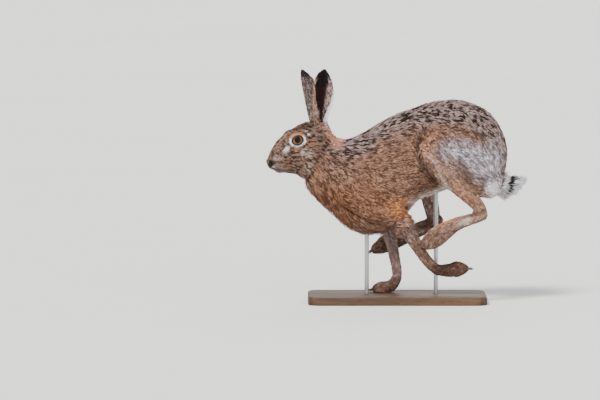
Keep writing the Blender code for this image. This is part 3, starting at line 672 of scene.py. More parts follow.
def round_the_ear(points, name):
    """For points on an ear: how far up it they lie, the angle round its roll from its back towards its
    rear rim, in half turns, and how far out from the roll's axis, as a share of its radius."""
    table = np.array(EAR_AXES[name])
    axis_x, axis_y, radius = (np.interp(points[:, 2], table[:, 0], table[:, column]) for column in (1, 2, 3))
    off = np.stack([points[:, 0] - axis_x, points[:, 1] - axis_y], 1)
    opening = np.array(EAR_OPENINGS[name])
    opening /= np.linalg.norm(opening)
    across = np.array([-opening[1], opening[0]])
    behind = -(off @ opening)
    aside = off @ across
    if name == "ear_right":
        aside = -aside
    up = (points[:, 2] - EAR_FOOT) / (EAR_TOP - EAR_FOOT)
    return up, np.arctan2(aside, behind) / math.pi, np.hypot(behind, aside) / radius


# Markings, and painted shade in creases and hollows

# Soft spots of colour in the side view: the tone, the place along the body and its height, half the length
# and half the height, the tilt in degrees, how strong the tone is, and the ticking there
Mark = namedtuple("Mark", "tone along height half_along half_height tilt strength ticking")

BODY_MARKS = [
    ("rufous", -50, 172, 70, 36, -30, 0.5, 0.55),
    ("chest", -118, 168, 54, 46, -40, 0.8, 0.6),
    ("orange", -2, 158, 34, 24, -35, 0.9, 0.3),
    ("rufous", -140, 215, 34, 34, 0, 0.25, 0.95),
    ("tan", -110, 235, 30, 34, 0, 0.4, 1.0),
    ("pink", -122, 292, 20, 24, 0, 0.8, 0.1),
    ("silver", 130, 248, 74, 42, -24, 0.95, 0.5),
    ("silver", 172, 244, 34, 58, 0, 0.8, 0.55),
    ("rufous", 58, 284, 22, 32, -20, 0.3, 0.4),
    ("pink", 56, 256, 9, 30, 24, 0.7, 0.1),
    ("cream", 62, 244, 7, 30, 26, 0.65, 0.1),
    ("tan", 84, 228, 20, 40, 42, 0.7, 0.2),
    # painted shade: a brown band, a grey band and a dark spot under the haunch, where it overhangs the hind
    # leg
    ("brown", 108, 236, 40, 11, -42, 0.9, 0.5),
    ("grey", 146, 214, 22, 9, -10, 0.75, 0.4),
    ("dark", 121, 221, 14, 11, -40, 1.0, 0.2),
    ("dark", -62, 286, 34, 13, 22, 0.5, 1.0),
    ("black", 192, 203, 13, 5, 22, 1.0, 0.0),
    ("rufous", 106, 211, 26, 14, -35, 0.35, 0.2),
    ("white", 182, 196, 32, 22, -10, 0.95, 0.0),
    ("cream", 60, 178, 60, 17, 18, 0.8, 0.1),
]
HEAD_MARKS = [
    ("umber", -186, 310, 46, 15, 25, 0.8, 1.0),
    ("dark", -180, 306, 14, 6, 15, 0.6, 0.8),
    ("tan", -216, 276, 24, 7, 50, 0.75, 0.7),
    ("dark", -210, 280, 9, 4, 55, 0.6, 0.6),
    ("umber", -214, 266, 9, 9, 40, 0.6, 0.7),
    ("buff", -222, 250, 12, 5, 10, 0.55, 0.3),
    ("chest", -207, 239, 13, 12, 20, 0.8, 0.7),
    ("dark", -205, 240, 7, 8, 20, 0.45, 0.6),
    ("rufous", -186, 269, 14, 4, -8, 0.6, 0.3),
    ("umber", -186, 246, 12, 10, -30, 0.5, 0.9),
    ("buff", -173, 261, 15, 10, -25, 0.65, 1.0),
    ("buff", -166, 238, 13, 8, 45, 0.6, 1.0),
    ("orange", -184, 260, 5, 4, 0, 0.5, 0.6),
    ("chest", -160, 282, 12, 10, 0, 0.5, 0.8),
    ("umber", -148, 266, 12, 26, 20, 0.6, 0.7),
    ("dark", -203, 257, 7, 2.6, -35, 0.85, 0.1),
    ("white", -205.5, 267, 3.8, 8.5, -24, 0.95, 0.05),
    ("cream", -210, 262, 4, 4, 0, 0.8, 0.1),
    ("white", -166.5, 295, 3.6, 3.8, 30, 0.9, 0.1),
    ("cream", -170, 299, 4, 2, 30, 0.7, 0.1),
    ("dark", -171, 289, 2.5, 6, 20, 0.5, 0.3),
    ("silver", -230, 233.5, 5.5, 4, -30, 0.9, 0.05),
    ("cream", -198, 220, 26, 5, 0, 0.8, 0.05),
    ("cream", -170, 212, 20, 10, -20, 0.7, 0.2),
    ("pink", -121, 300, 9, 28, 12, 0.9, 0.05),
    ("umber", -152, 302, 16, 16, 0, 0.8, 0.7),
    ("dark", -147, 308, 4, 9, 0, 0.5, 0.6),
]
LEG_MARKS = [
    ("cream", 80, 214, 7, 30, 42, 0.85, 0.0),
    ("rufous", 118, 190, 40, 14, -42, 0.35, 0.2),
    ("dark", 152, 150, 44, 5, 24, 0.6, 0.1),
    ("orange", 92, 138, 46, 7, 24, 0.8, 0.1),
    ("cream", 124, 133, 20, 6, 20, 0.75, 0.1),
    ("brown", 88, 118, 26, 12, 22, 0.6, 0.3),
    ("sole", 60, 98, 34, 14, 25, 0.6, 0.3),
    ("ash", 20, 116, 16, 26, -38, 0.8, 0.35),
    ("brown", 40, 84, 16, 26, -38, 0.7, 0.3),
    ("sole", 100, 46, 50, 18, 0, 0.85, 0.3),
]


def wobble(points, size, seed):
    """A smooth pattern over space between -1 and 1, with blots of about a size."""
    draws = np.random.default_rng(seed)
    total = np.zeros(len(points))
    for _wave in range(7):
        way = unit(draws.normal(size=3)) * (2 * math.pi / size) * draws.uniform(0.35, 0.9)
        total += np.sin(points @ way + draws.uniform(0, 2 * math.pi))
    return np.tanh(total / 2.2)


BACK_LINE = [(-140, 300), (-122, 296), (-98, 287), (-68, 297), (-36, 316), (-6, 332), (24, 343), (54, 354),
             (84, 359), (112, 360), (142, 352), (166, 339), (185, 318), (198, 292), (203, 262)]
BELLY_LINE = [(-175, 229), (-150, 184), (-120, 155), (-86, 126), (-46, 115), (-2, 130), (34, 171), (62, 184),
              (96, 196), (132, 200), (162, 198), (202, 215)]
# the crease in front of the haunch, where painted shade lies
SHADED_GROOVE = [(37, 302), (33, 276), (38, 248), (64, 213)]
NOSTRILS = ((-235.5, 9.0, 242.5), 5.8)
# the slit of the mouth, darkened with painted shade
MOUTH = [(-240, 236.5), (-231, 234.5), (-224, 232.3), (-216, 231), (-209, 231.2), (-203, 233.2)]


def line_gap(along, height, line):
    """How far each point of the side view lies from a line."""
    share, _aside, _heading = along_line(np.stack([along, height], 1), line)
    near = on_line(line, share, np.zeros(len(share)))
    return np.hypot(near[:, 0] - along, near[:, 1] - height)


def markings_and_painted_shade(points, normals, nodes, shares):
    """The colour of the coat at each point, with painted shade in the crease before the haunch, under the
    haunch, in the nostrils and along the mouth, and how strongly its hairs are ticked with black and buff.
    """
    along, height = side_view(points, nodes)
    fine = among(nodes, "head")
    along = along + np.where(fine, 0.9 * wobble(points, 9, 1), 3 * wobble(points, 34, 1))
    height = height + np.where(fine, 0.9 * wobble(points, 8, 2), 3 * wobble(points, 30, 2))
    colours = np.tile(tone("flank"), (len(points), 1))
    ticking = np.full(len(points), 0.5)

    def belonging(*names):
        return shares[:, [KIND_ORDER.index(name) for name in names]].sum(1)

    def put(share, name, ticks):
        colours[:] = mixed(colours, tone(name), share[:, None])
        ticking[:] = mixed(ticking, ticks, share)

    def lay(marks, here):
        for mark in (Mark(*row) for row in marks):
            turn = math.radians(mark.tilt)
            cos, sin = math.cos(turn), math.sin(turn)
            off_along = along - mark.along
            off_height = height - mark.height
            reach = np.hypot((off_along * cos + off_height * sin) / mark.half_along,
                             (off_height * cos - off_along * sin) / mark.half_height)
            put(fading(reach, 0.45, 1.15) * mark.strength * here, mark.tone, mark.ticking)

    # The body
    body = belonging("torso", "neck", "thigh", "upper_foreleg")
    below_back = from_table(along, BACK_LINE) - height
    above_belly = height - from_table(along, BELLY_LINE)
    put(body * fading(below_back, 14, 62) * 0.9, "brown", 1.0)
    lay(BODY_MARKS, body)
    reach = np.interp(along, (40, 120), (0, 18))
    put(body * fading(below_back - reach, 18, 44) * 0.9, "back", 1.0)
    rump = body * smoothstep(along + 4 * wobble(points, 16, 6), 184, 196) * smoothstep(height, 214, 234)
    put(rump * 0.75, "back", 0.9)
    under = body * smoothstep(-normals[:, 2], 0.35, 0.8) * fading(above_belly, 8, 26)
    put(under * smoothstep(along, -20, 30), "cream", 0.0)
    # painted shade along the crease in front of the haunch
    put(body * fading(line_gap(along, height, SHADED_GROOVE), 2.5, 8.5) * 0.75, "dark", 0.4)

    # The head, with its rings round the eye, the nostrils and the mouth
    head = belonging("head")
    put(head, "face", 1.0)
    lay(HEAD_MARKS, head)
    ahead = unturned(points)
    ahead[:, 1] = np.abs(ahead[:, 1])
    ring, rise = round_the_eye(points)
    put(head * fading(ring, 1.27, 1.42), "white", 0.0)
    put(head * smoothstep(rise, 3.0, 7.5) * fading(ring, 1.4, 1.62) * 0.95, "orange", 0.0)
    put(head * fading(ring, *RIM_OF_FUR), "black", 0.0)
    # the nostrils in black: their dark skin, and painted shade in their openings
    nose, nose_size = NOSTRILS
    put(head * fading(np.linalg.norm(ahead - nose, axis=1), nose_size, nose_size + 1.0), "black", 0.0)
    # painted shade along the slit of the mouth
    put(head * fading(line_gap(ahead[:, 0], ahead[:, 2], MOUTH), 0.7, 1.8) * 0.85, "dark", 0.0)
    nape = smoothstep(along + 0.35 * (height - 290), -138, -126) * smoothstep(height, 264, 276)
    put(belonging("head", "neck") * nape * 0.9 * fading(along, -112, -98), "pink", 0.15)

    # The legs, paler on their inner sides
    legs = belonging(*LOWER_LEGS)
    feet = belonging(*FEET)
    put(legs * 0.95, "tan", 0.35)
    lay(LEG_MARKS, legs)
    left = np.array([name.endswith("left") for name in FLESH])[nodes]
    inner = smoothstep(normals[:, 1] * np.where(left, 1, -1), 0.1, 0.6)
    put(belonging("shank", "forearm") * inner * 0.8, "ash", 0.25)
    put(feet * inner * 0.35, "brown", 0.3)
    put(legs * smoothstep(-normals[:, 2], 0.55, 0.9) * feet * 0.8, "sole", 0.2)

    # The ears, from their backs to their rims and tips
    for name, side in SIDES.items():
        here = belonging("ear") * (points[:, 1] * side > 0)
        up, turn, out = round_the_ear(points, "ear_" + name)
        inside = fading(out, 0.92, 0.97) * smoothstep(up, 0.12, 0.22)
        put(here, "grey", 0.9)
        put(here * smoothstep(-turn, 0.05, 0.3) * (1 - inside), "tan", 0.7)
        put(here * inside, "ear", 0.1)
        put(here * inside * fading(up, 0.25, 0.4) * fading(np.abs(turn), 0.06, 0.14) * 0.7, "white", 0.1)
        put(here * inside * smoothstep(turn, 0.2, 0.3) * fading(up, 0.8, 0.86), "ash", 1.0)
        put(here * smoothstep(-turn, 0.4, 0.48) * 0.8, "tan", 0.5)
        put(here * smoothstep(turn, 0.43, 0.49) * 0.95, "white", 0.0)
        tip_start = up + 0.02 * wobble(points, 9, 3) + 0.14 * fading(out, 0.96, 1.02) * (turn < 0.3)
        put(here * smoothstep(tip_start, 0.84, 0.9), "black", 0.1)
        put(here * fading(up, 0.12, 0.34) * fading(turn, 0.2, 0.36) * 0.9, "umber", 1.0)

    # The tail, white with a black top
    tail = belonging("tail")
    put(tail, "white", 0.0)
    top = smoothstep(height - 0.28 * (along - 190), 199, 202) * fading(np.abs(points[:, 1]), 14, 18)
    put(tail * top * fading(along, 205, 210) * fading(height, 213, 217), "black", 0.1)
    return colours, ticking


# The lie of the coat

LIE_OF_TAIL = [
    (194, 214, 0.97, 0.3), (205, 211, 0.97, 0.3), (218, 210, 0.97, 0.3), (218, 201, 0.97, 0.15),
    (204, 192, 0.97, 0.1), (192, 188, 0.9, -0.35), (180, 192, 0.6, -0.7), (176, 202, 0.6, -0.75),
]
TAIL_LENGTHS = ((170, 32), (190, 32), (205, 27), (220, 20), (227, 17))


LIES = {"head": (LIE_OF_HEAD, LIE_REACH_HEAD), "tail": (LIE_OF_TAIL, LIE_REACH_HEAD)}


def blended_lie(table, along, height, reach):
    """The way the hair points in the side view, blended from a table by how near its places are."""
    table = np.array(table, float)
    off = np.hypot(along[:, None] - table[:, 0], height[:, None] - table[:, 1])
    weight = np.exp(-(off / reach) ** 2 / 2) + 1e-6 / (1 + off ** 2)
    return unit(weight @ unit(table[:, 2:]))


def along_surface(ways, normals):
    return ways - normals * (ways * normals).sum(1)[:, None]


def lie_of_coat(points, normals, nodes):
    """The direction that the hair points at each point, along the surface."""
    along, height = side_view(points, nodes)
    ways = np.zeros((len(points), 3))
    for index, name in enumerate(FLESH):
        here = nodes == index
        if not here.any():
            continue
        kind = kind_of(name)
        if kind == "ear":
            table = np.array(EAR_AXES[name])
            tip = np.gradient(table[:, 1:3], table[:, 0], axis=0)
            for axis in (0, 1):
                ways[here, axis] = np.interp(points[here][:, 2], table[:, 0], tip[:, axis])
            ways[here, 2] = 1.0
            continue
        if kind in LOWER_LEGS:
            _share, _aside, flat = along_line(points[here][:, [0, 2]], LINES[name])
        else:
            table, reach = LIES.get(kind, (LIE_OF_BODY, LIE_REACH))
            flat = blended_lie(table, along[here], height[here], reach)
        ways[here, 0], ways[here, 2] = flat.T
        if kind == "tail":
            ways[here, 1] = points[here][:, 1] / 40
        elif kind == "head":
            ways[here] = turned(ways[here])
            for side in EYES:
                away = points[here] - eye_middle(side)
                close = fading(np.linalg.norm(away, axis=1), 16, 23)
                away = unit(along_surface(away, normals[here]))
                ways[here] = mixed(ways[here], away, close[:, None])
    ways = along_surface(unit(ways), normals)
    ways[np.linalg.norm(ways, axis=1) < 0.2] += [0.3, 0, -0.1]
    return unit(along_surface(ways, normals))


def turned_about(vectors, axes, angles):
    cos, sin = np.cos(angles)[:, None], np.sin(angles)[:, None]
    return vectors * cos + np.cross(axes, vectors) * sin


# Tufts

SUNK = 0.5  # how deep a tuft's foot lies under the skin
THICK = 0.32  # a tuft's thickness as a share of its width
FOOT_WIDTH = 0.9  # as a share of the width at a tuft's middle
MIDDLE_OF_TUFT = (0.48, 0.62)  # as shares of its reach along the skin and of its rise
TIP_OF_TUFT = (1.0, 0.78)
TUFT_FACES = ((0, 2, 1), (0, 1, 4, 3), (1, 2, 5, 4), (2, 0, 3, 5), (3, 4, 6), (4, 5, 6), (5, 3, 6))
TUFT_POINTS = 7
PATCH = 0.003  # how large each tuft is on the map for baking
PATCH_CORNERS = ((-0.5, -0.5), (0.5, -0.5), (0, -0.35), (-0.5, 0.1), (0.5, 0.1), (0, 0.15), (0, 0.5))
DARK_SHARE = 0.4
LIGHT_SHARE = 0.38
SMALL_BUNCH = 5  # how many tufts lean together
LARGE_BUNCH = 18
LEANING = (0.5, 0.3)  # how far tips are drawn to the middle of their small and their large bunch
STREAK_ROOTS = 3
STREAK_STEP = 0.16  # as a share of the coat's length
STREAK_WEIGHT = 0.78  # how much of a tuft's tone comes from its streak, and not from chance
SWING = 7  # the spread of the hair's direction, in degrees


def grow_roots(points, normals, triangles, nodes, shares, draws):
    """Roots spread evenly over the skin, as places, normals, nodes and shares of the kinds of part."""
    corners = points[triangles]
    across = np.cross(corners[:, 1] - corners[:, 0], corners[:, 2] - corners[:, 0])
    area = np.linalg.norm(across, axis=1) / 200
    owners = nodes[triangles[:, 0]]
    middle = corners.mean(1)
    density = growth(owners, "density")
    ring, _rise = round_the_eye(middle)
    density = density * smoothstep(ring, *RIM_OF_FUR)
    wanted = np.concatenate([[0], np.cumsum(area * density)])
    picks = np.arange(0.5, wanted[-1], 1.0) + draws.uniform(-0.5, 0.5, int(wanted[-1] + 0.5))
    chosen = np.clip(np.searchsorted(wanted, picks, "right") - 1, 0, len(triangles) - 1)
    first = draws.uniform(0, 1, len(chosen))
    second = draws.uniform(0, 1, len(chosen))
    over = first + second > 1
    first[over], second[over] = 1 - first[over], 1 - second[over]
    weights = np.stack([1 - first - second, first, second], 1)[:, :, None]
    picked = triangles[chosen]
    roots, facing, kinds = ((values[picked] * weights).sum(1) for values in (points, normals, shares))
    return roots, unit(facing), owners[chosen], kinds


def nearest(middles, spots):
    """The number of the middle that is nearest to each spot."""
    tree = KDTree(len(middles))
    for index, middle in enumerate(middles.tolist()):
        tree.insert(middle, index)
    tree.balance()
    return np.array([tree.find(spot)[1] for spot in spots.tolist()])


def streaks(roots, ways, draws):
    """A number from 0 to 1 for each tuft, alike along the lie of the coat and different across it."""
    middles = roots[1::STREAK_ROOTS]
    values = draws.uniform(0, 1, len(middles))
    total = np.zeros(len(roots))
    for step in (-1, 0, 1):
        total += values[nearest(middles, roots + ways * step)]
    ranks = np.empty(len(roots))
    ranks[np.argsort(total)] = np.arange(len(roots)) / len(roots)
    return ranks


def tuft_colours(colours, ticking, streak, small, large, draws):
    """The colours of each tuft at its root, its middle and its tip, over the ticking's dark and buff bands:
    painted shade darkens the root and a little the middle, and a painted highlight lightens the tip.
    """
    count = len(colours)
    chance = draws.uniform(0, 1, count)
    chance = smoothstep(mixed(chance, streak, STREAK_WEIGHT), 0.06, 0.94)
    shade = draws.normal(0, 0.10, count) + draws.normal(0, 0.12, small.max() + 1)[small]
    shade = np.exp(shade + 0.45 * (streak - 0.5) + draws.normal(0, 0.1, large.max() + 1)[large])
    base = np.minimum(colours * shade[:, None], 0.95)
    dark = ticking * fading(chance, DARK_SHARE - 0.1, DARK_SHARE + 0.1)
    light = ticking * smoothstep(chance, 1 - LIGHT_SHARE - 0.1, 1 - LIGHT_SHARE + 0.1)
    # painted shade: the root is darkened as the depth of the coat would shade it, white hair less so
    root = base * mixed(0.22, 0.75, smoothstep(colours.min(1), 0.6, 0.8))[:, None]
    # painted shade: the middle is a little darker than the base, under the ticking's dark band
    middle = mixed(base * 0.85, tone("dark") * 0.5, dark[:, None])
    middle = mixed(middle, base * 0.62, (light * 0.6)[:, None])
    # painted highlight: the tip is lighter than the base, as if lit, under the ticking's black and buff tips
    tip = mixed(base * 1.25, tone("black") * 0.6, dark[:, None])
    tip = mixed(tip, mixed(base * 1.6, tone("buff") * 1.15, 0.6), light[:, None])
    return root, middle, np.minimum(tip, 0.95)


# The coat's pieces: the nodes that each covers, and its material slot
Coat = namedtuple("Coat", "name nodes slot")
COATS = [
    Coat("coat_head", ("head",), "coat_head"),
    Coat("coat_ears", ("ear_left", "ear_right"), "coat_ears"),
    Coat("coat_neck", ("neck",), "coat_body"),
    Coat("coat_back", ("torso",), "coat_body"),
    Coat("coat_flank_left", ("torso",), "coat_body"),
    Coat("coat_flank_right", ("torso",), "coat_body"),
    Coat("coat_haunch_left", ("thigh_left",), "coat_haunch"),
    Coat("coat_haunch_right", ("thigh_right",), "coat_haunch"),
    Coat("coat_foreleg_left", ("upper_foreleg_left", "forearm_left", "forepaw_left"), "coat_legs"),
    Coat("coat_foreleg_right", ("upper_foreleg_right", "forearm_right", "forepaw_right"), "coat_legs"),
    Coat("coat_hind_leg_left", ("shank_left", "hind_foot_left"), "coat_legs"),
    Coat("coat_hind_leg_right", ("shank_right", "hind_foot_right"), "coat_legs"),
    Coat("coat_tail", ("tail",), "coat_tail"),
]
SPINE = [(-150, 262), (-98, 240), (-36, 222), (24, 245), (84, 275), (142, 278), (210, 250)]
SKULL = [(-245, 244), (-180, 268), (-115, 282)]
TAIL_LINE = [(165, 225), (190, 208), (225, 204)]


def unwrapped(points, name):
    """Where each point lies on an unwrap of its node: along the part's middle line, and round it."""
    kind = kind_of(name)
    side = LEFT if name.endswith("left") else RIGHT
    if kind == "ear":
        up, turn, out = round_the_ear(points, name)
        inside = out < INSIDE_EAR
        return np.clip(up, 0, 1), (turn / 2 + 0.5) * 0.48 + 0.5 * inside
    middle = LEG_MIDDLES.get(kind, 0.0) * side
    place = unturned(points) if kind == "head" else points
    line = LINES.get(name, {"head": SKULL, "tail": TAIL_LINE}.get(kind, SPINE))
    share, aside, _heading = along_line(place[:, [0, 2]], line)
    return share, np.arctan2(place[:, 1] - middle, aside) / (2 * math.pi) + 0.5


def full_range(values):
    """Values moved and scaled to run from 0 to 1."""
    return (values - values.min()) / max(values.max() - values.min(), 1e-6)


def spots_on_map(points, nodes, names):
    """Where each point lies on a piece's map, which has a strip for each of its nodes."""
    spots = np.zeros((len(points), 2))
    for index, name in enumerate(names):
        here = nodes == FLESH.index(name)
        if not here.any():
            continue
        run, round_it = unwrapped(points[here], name)
        spots[here, 0] = 0.01 + 0.98 * full_range(run)
        spots[here, 1] = (index + 0.02 + 0.96 * full_range(round_it)) / len(names)
    return spots


# How long and wide the tufts of the head are by the place along the body, as shares of the growth there
HEAD_LENGTHS = ((-242, 0.45), (-228, 0.6), (-205, 0.85), (-175, 1.35), (-140, 1.9))
HEAD_WIDTHS = ((-240, 0.75), (-200, 0.95), (-150, 1.3))
# Where longer and steeper tufts fill a hollow: its middle along the body and in height, half its size, where
# they start and where they stop as shares of that, their length, and how steeply they stand
HOLLOWS = [
    ((-172, 222), (16, 12), (0.5, 1.2), 13.0, 36.0),
    ((2, 122), (15, 12), (0.6, 1.3), 18.0, 48.0),
]


def tuft_shape(roots, facing, nodes, draws):
    """How long, wide and steep each tuft is."""
    along, height = side_view(roots, nodes)
    length, width, lift = (growth(nodes, field) for field in ("length", "width", "lift"))
    head = among(nodes, "head")
    ring, _rise = round_the_eye(roots)
    near_eye = mixed(0.35, 1.0, smoothstep(ring, 1.1, 2.1))
    length = np.where(head, length * from_table(along, HEAD_LENGTHS) * near_eye, length)
    width = np.where(head, width * from_table(along, HEAD_WIDTHS), width)
    tail = among(nodes, "tail")
    length = np.where(tail, from_table(roots[:, 0], TAIL_LENGTHS), length)
    length = np.where(tail & (along < 209), length * (1 - 0.65 * smoothstep(height, 208, 214)), length)
    body = among(nodes, "torso", "neck")
    below = body & (facing[:, 2] < -0.4)
    length = np.where(below, length * 1.15, length)
    lift = np.where(below, lift + 6, lift)
    ruff = body * fading(along, -70, -20) * smoothstep(-facing[:, 0] - facing[:, 2], 0.1, 0.9)
    length *= 1 + 0.3 * ruff
    lift += 9 * ruff
    skirt = smoothstep(along, 140, 165) * fading(height, 196, 206) * ~tail
    skirt = skirt * smoothstep(-facing[:, 2], 0.1, 0.6)
    length = mixed(length, 17.0, skirt)
    lift = mixed(lift, 30.0, skirt)
    for middle, half, edges, hollow_length, hollow_lift in HOLLOWS:
        out = np.hypot((along - middle[0]) / half[0], (height - middle[1]) / half[1])
        length = mixed(length, hollow_length, fading(out, *edges))
        lift = mixed(lift, hollow_lift, fading(out, *edges))
    heel = among(nodes, "shank", "hind_foot") * smoothstep(roots[:, 0], 140, 160)
    length *= 1 - 0.6 * heel
    lift *= 1 - 0.6 * heel
    behind_ears = head * smoothstep(along, -150, -138) * smoothstep(height, 285, 300)
    length *= 1 - 0.5 * behind_ears
    lift = np.where(among(nodes, *FEET) & (facing[:, 2] < -0.5), lift + 10, lift)
    length = length * draws.uniform(0.75, 1.25, len(roots))
    width = width * draws.uniform(0.75, 1.3, len(roots))
    return length, width, np.radians(lift * draws.uniform(0.5, 1.5, len(roots)))


def make_coat(skin, skin_nodes, skin_shares):
    """Every tuft: its root, its node, its points and their tones."""
    draws = np.random.default_rng(SEED)
    points, normals, triangles = arrays_of(skin.data)
    roots, facing, nodes, shares = grow_roots(points, normals, triangles, skin_nodes, skin_shares, draws)
    ways = lie_of_coat(roots, facing, nodes)
    swing = draws.normal(0, SWING, len(roots)) + 15 * wobble(roots, 22, 4) + 10 * wobble(roots, 9, 5)
    swing = np.radians(swing)
    fine = among(nodes, "head", "ear")
    ways = turned_about(ways, facing, np.where(fine, swing * 0.6, swing))
    length, width, lift = tuft_shape(roots, facing, nodes, draws)
    colours, ticking = markings_and_painted_shade(roots, facing, nodes, shares)
    small, large = (nearest(roots[step // 2::step], roots) for step in (SMALL_BUNCH, LARGE_BUNCH))
    streak = streaks(roots, ways * (length * STREAK_STEP)[:, None], draws)
    root_tone_in_painted_shade, middle_tone_with_painted_shade, ticked_tip_tone_with_painted_highlight = tuft_colours(colours, ticking, streak, small, large, draws)

    flat = np.cross(facing, ways)
    reach = ways * (np.cos(lift) * length)[:, None]
    rise = facing * (np.sin(lift) * length)[:, None]
    foot = roots - facing * SUNK
    middle, tip = (roots + reach * share[0] + rise * share[1] for share in (MIDDLE_OF_TUFT, TIP_OF_TUFT))
    for bunch, strength in zip((small, large), LEANING):
        pull = np.where(fine, 0.5 * strength, strength)[:, None]
        many = np.maximum(np.bincount(bunch), 1)
        average = np.stack([np.bincount(bunch, weights=tip[:, axis]) / many for axis in range(3)], 1)
        tip = mixed(tip, average[bunch], pull)
    across = flat * (width / 2)[:, None]
    ridge = facing * (width * THICK)[:, None]
    shapes = np.stack([
        foot - across * FOOT_WIDTH, foot + across * FOOT_WIDTH, foot + ridge,
        middle - across, middle + across, middle + ridge, tip,
    ], 1)
    shapes[:, :, 2] = np.maximum(shapes[:, :, 2], ROOM_ABOVE_BASE)
    tones = np.stack([root_tone_in_painted_shade] * 3 + [middle_tone_with_painted_shade] * 3 + [ticked_tip_tone_with_painted_highlight], 1)
    return roots, nodes, shapes, tones


UPPER_BACK = 34  # how far the coat of the back reaches below the line of the back


def coat_members(coat, roots, nodes):
    """Which tufts belong to a piece of the coat: the torso's are split into back and flanks."""
    here = np.isin(nodes, [FLESH.index(name) for name in coat.nodes])
    if coat.nodes != ("torso",):
        return here
    along, height = side_view(roots, nodes)
    upper = from_table(along, BACK_LINE) - height < UPPER_BACK
    if coat.name == "coat_back":
        return here & upper
    side = roots[:, 1] < 0 if coat.name.endswith("left") else roots[:, 1] >= 0
    return here & ~upper & side


def build_coat(skin, skin_nodes, skin_shares, finish):
    roots, nodes, shapes, tones = make_coat(skin, skin_nodes, skin_shares)
    pattern = np.concatenate([np.array(face) for face in TUFT_FACES])
    sizes = np.array([len(face) for face in TUFT_FACES])
    for coat in COATS:
        chosen = np.flatnonzero(coat_members(coat, roots, nodes))
        count = len(chosen)
        corners = (np.arange(count)[:, None] * TUFT_POINTS + pattern).ravel()
        placed = shapes[chosen].reshape(-1, 3).copy()
        placed[:, 2] += BASE_TOP
        piece = mesh_piece(coat.name, placed * MM, corners, np.tile(sizes, count))
        # the tufts' colours, with painted shade at their roots and a painted highlight at their tips
        point_colours(piece, "marking_and_painted_light", tones[chosen].reshape(-1, 3))
        spots = spots_on_map(roots[chosen], nodes[chosen], coat.nodes)
        spread = (spots[:, None, :] + np.array(PATCH_CORNERS) * PATCH).reshape(-1, 2)
        layer = piece.data.uv_layers.new(name="OFBake")
        layer.data.foreach_set("uv", spread[corners].astype(np.float32).ravel())
        settle(piece, finish, coat.slot)


# Finishes

def pelt_finish():
    """Short dense fur close to the skin: the colour of the markings, with their painted shade, broken up into
    fine streaks.
    """
    finish = Finish("pelt")
    colour = finish.attribute("marking_and_painted_light")
    fine = finish.noise(900.0, 3.0)
    broad = finish.noise(160.0, 3.0)
    shade = finish.smooth(fine, 0.3, 0.7) * 0.5 + 0.42 + broad * 0.3
    dark = finish.mix(1.0, colour, (0.30, 0.27, 0.25, 1.0), "MULTIPLY")
    lit = finish.mix(shade, dark, colour)
    return finish.surface(lit, 0.8, {"Specular IOR Level": 0.2, "Normal": finish.bump(fine, 0.0012, 0.6)})


def coat_finish():
    finish = Finish("coat")
    return finish.surface(finish.attribute("marking_and_painted_light"), 0.62, {"Specular IOR Level": 0.1})


PUPIL = 5.6
IRIS = 8.7


def eye_finish(middle, gaze):
    """A glossy eye: a black pupil in an amber-brown iris with fine rays, dark at its edge."""
    finish = Finish("eye")
    offset = finish.vector("SUBTRACT", (finish.place(), Vector(middle)))
    forward = finish.vector("DOT_PRODUCT", (offset, gaze), "Value")
    whole = finish.vector("LENGTH", (offset,), "Value")
    out = (whole * whole - forward * forward) ** 0.5
    pupil = finish.smooth(out, (PUPIL - 0.25) * MM, (PUPIL + 0.35) * MM)
    edge = finish.smooth(out, (IRIS - 1.6) * MM, IRIS * MM)
    rays = finish.noise(26.0, 3.0, finish.vector("NORMALIZE", (offset,)))
    amber = finish.mix(finish.smooth(rays, 0.3, 0.7), (0.16, 0.062, 0.012, 1), (0.52, 0.25, 0.05, 1))
    inner = finish.smooth(out, PUPIL * MM, (PUPIL + 1.6) * MM)
    amber = finish.mix(inner, (0.10, 0.04, 0.010, 1), amber)
    ringed = finish.mix(edge, amber, (0.010, 0.007, 0.006, 1))
    colour = finish.mix(pupil, (0.002, 0.002, 0.006, 1), ringed)
    return finish.surface(colour, 0.12, {
        "IOR": 1.36,
        "Specular IOR Level": 0.12,
        "Coat Weight": 0.15,
        "Coat Roughness": 0.02,
    })


def lid_finish():
    finish = Finish("eye_rim_skin")
    grain = finish.noise(1500.0, 3.0)
    colour = finish.mix(grain, (0.004, 0.003, 0.003, 1), (0.012, 0.008, 0.007, 1))
    roughness = finish.smooth(grain, 0.0, 1.0) * 0.2 + 0.45
    return finish.surface(colour, roughness, {"Normal": finish.bump(grain, 0.0002, 0.5)})


def claw_finish():
    finish = Finish("horn")
    grain = finish.noise(1.0, 2.0, finish.stretched((90.0, 700.0, 700.0)))
    colour = finish.mix(grain, (0.020, 0.014, 0.010, 1), (0.075, 0.055, 0.040, 1))
    return finish.surface(colour, 0.32, {"Normal": finish.bump(grain, 0.0001, 0.4)})


def whisker_finish():
    finish = Finish("whisker_hair")
    along = finish.noise(60.0, 1.0)
    return finish.surface(finish.mix(along, (0.10, 0.08, 0.07, 1), (0.50, 0.46, 0.42, 1)), 0.4, {})


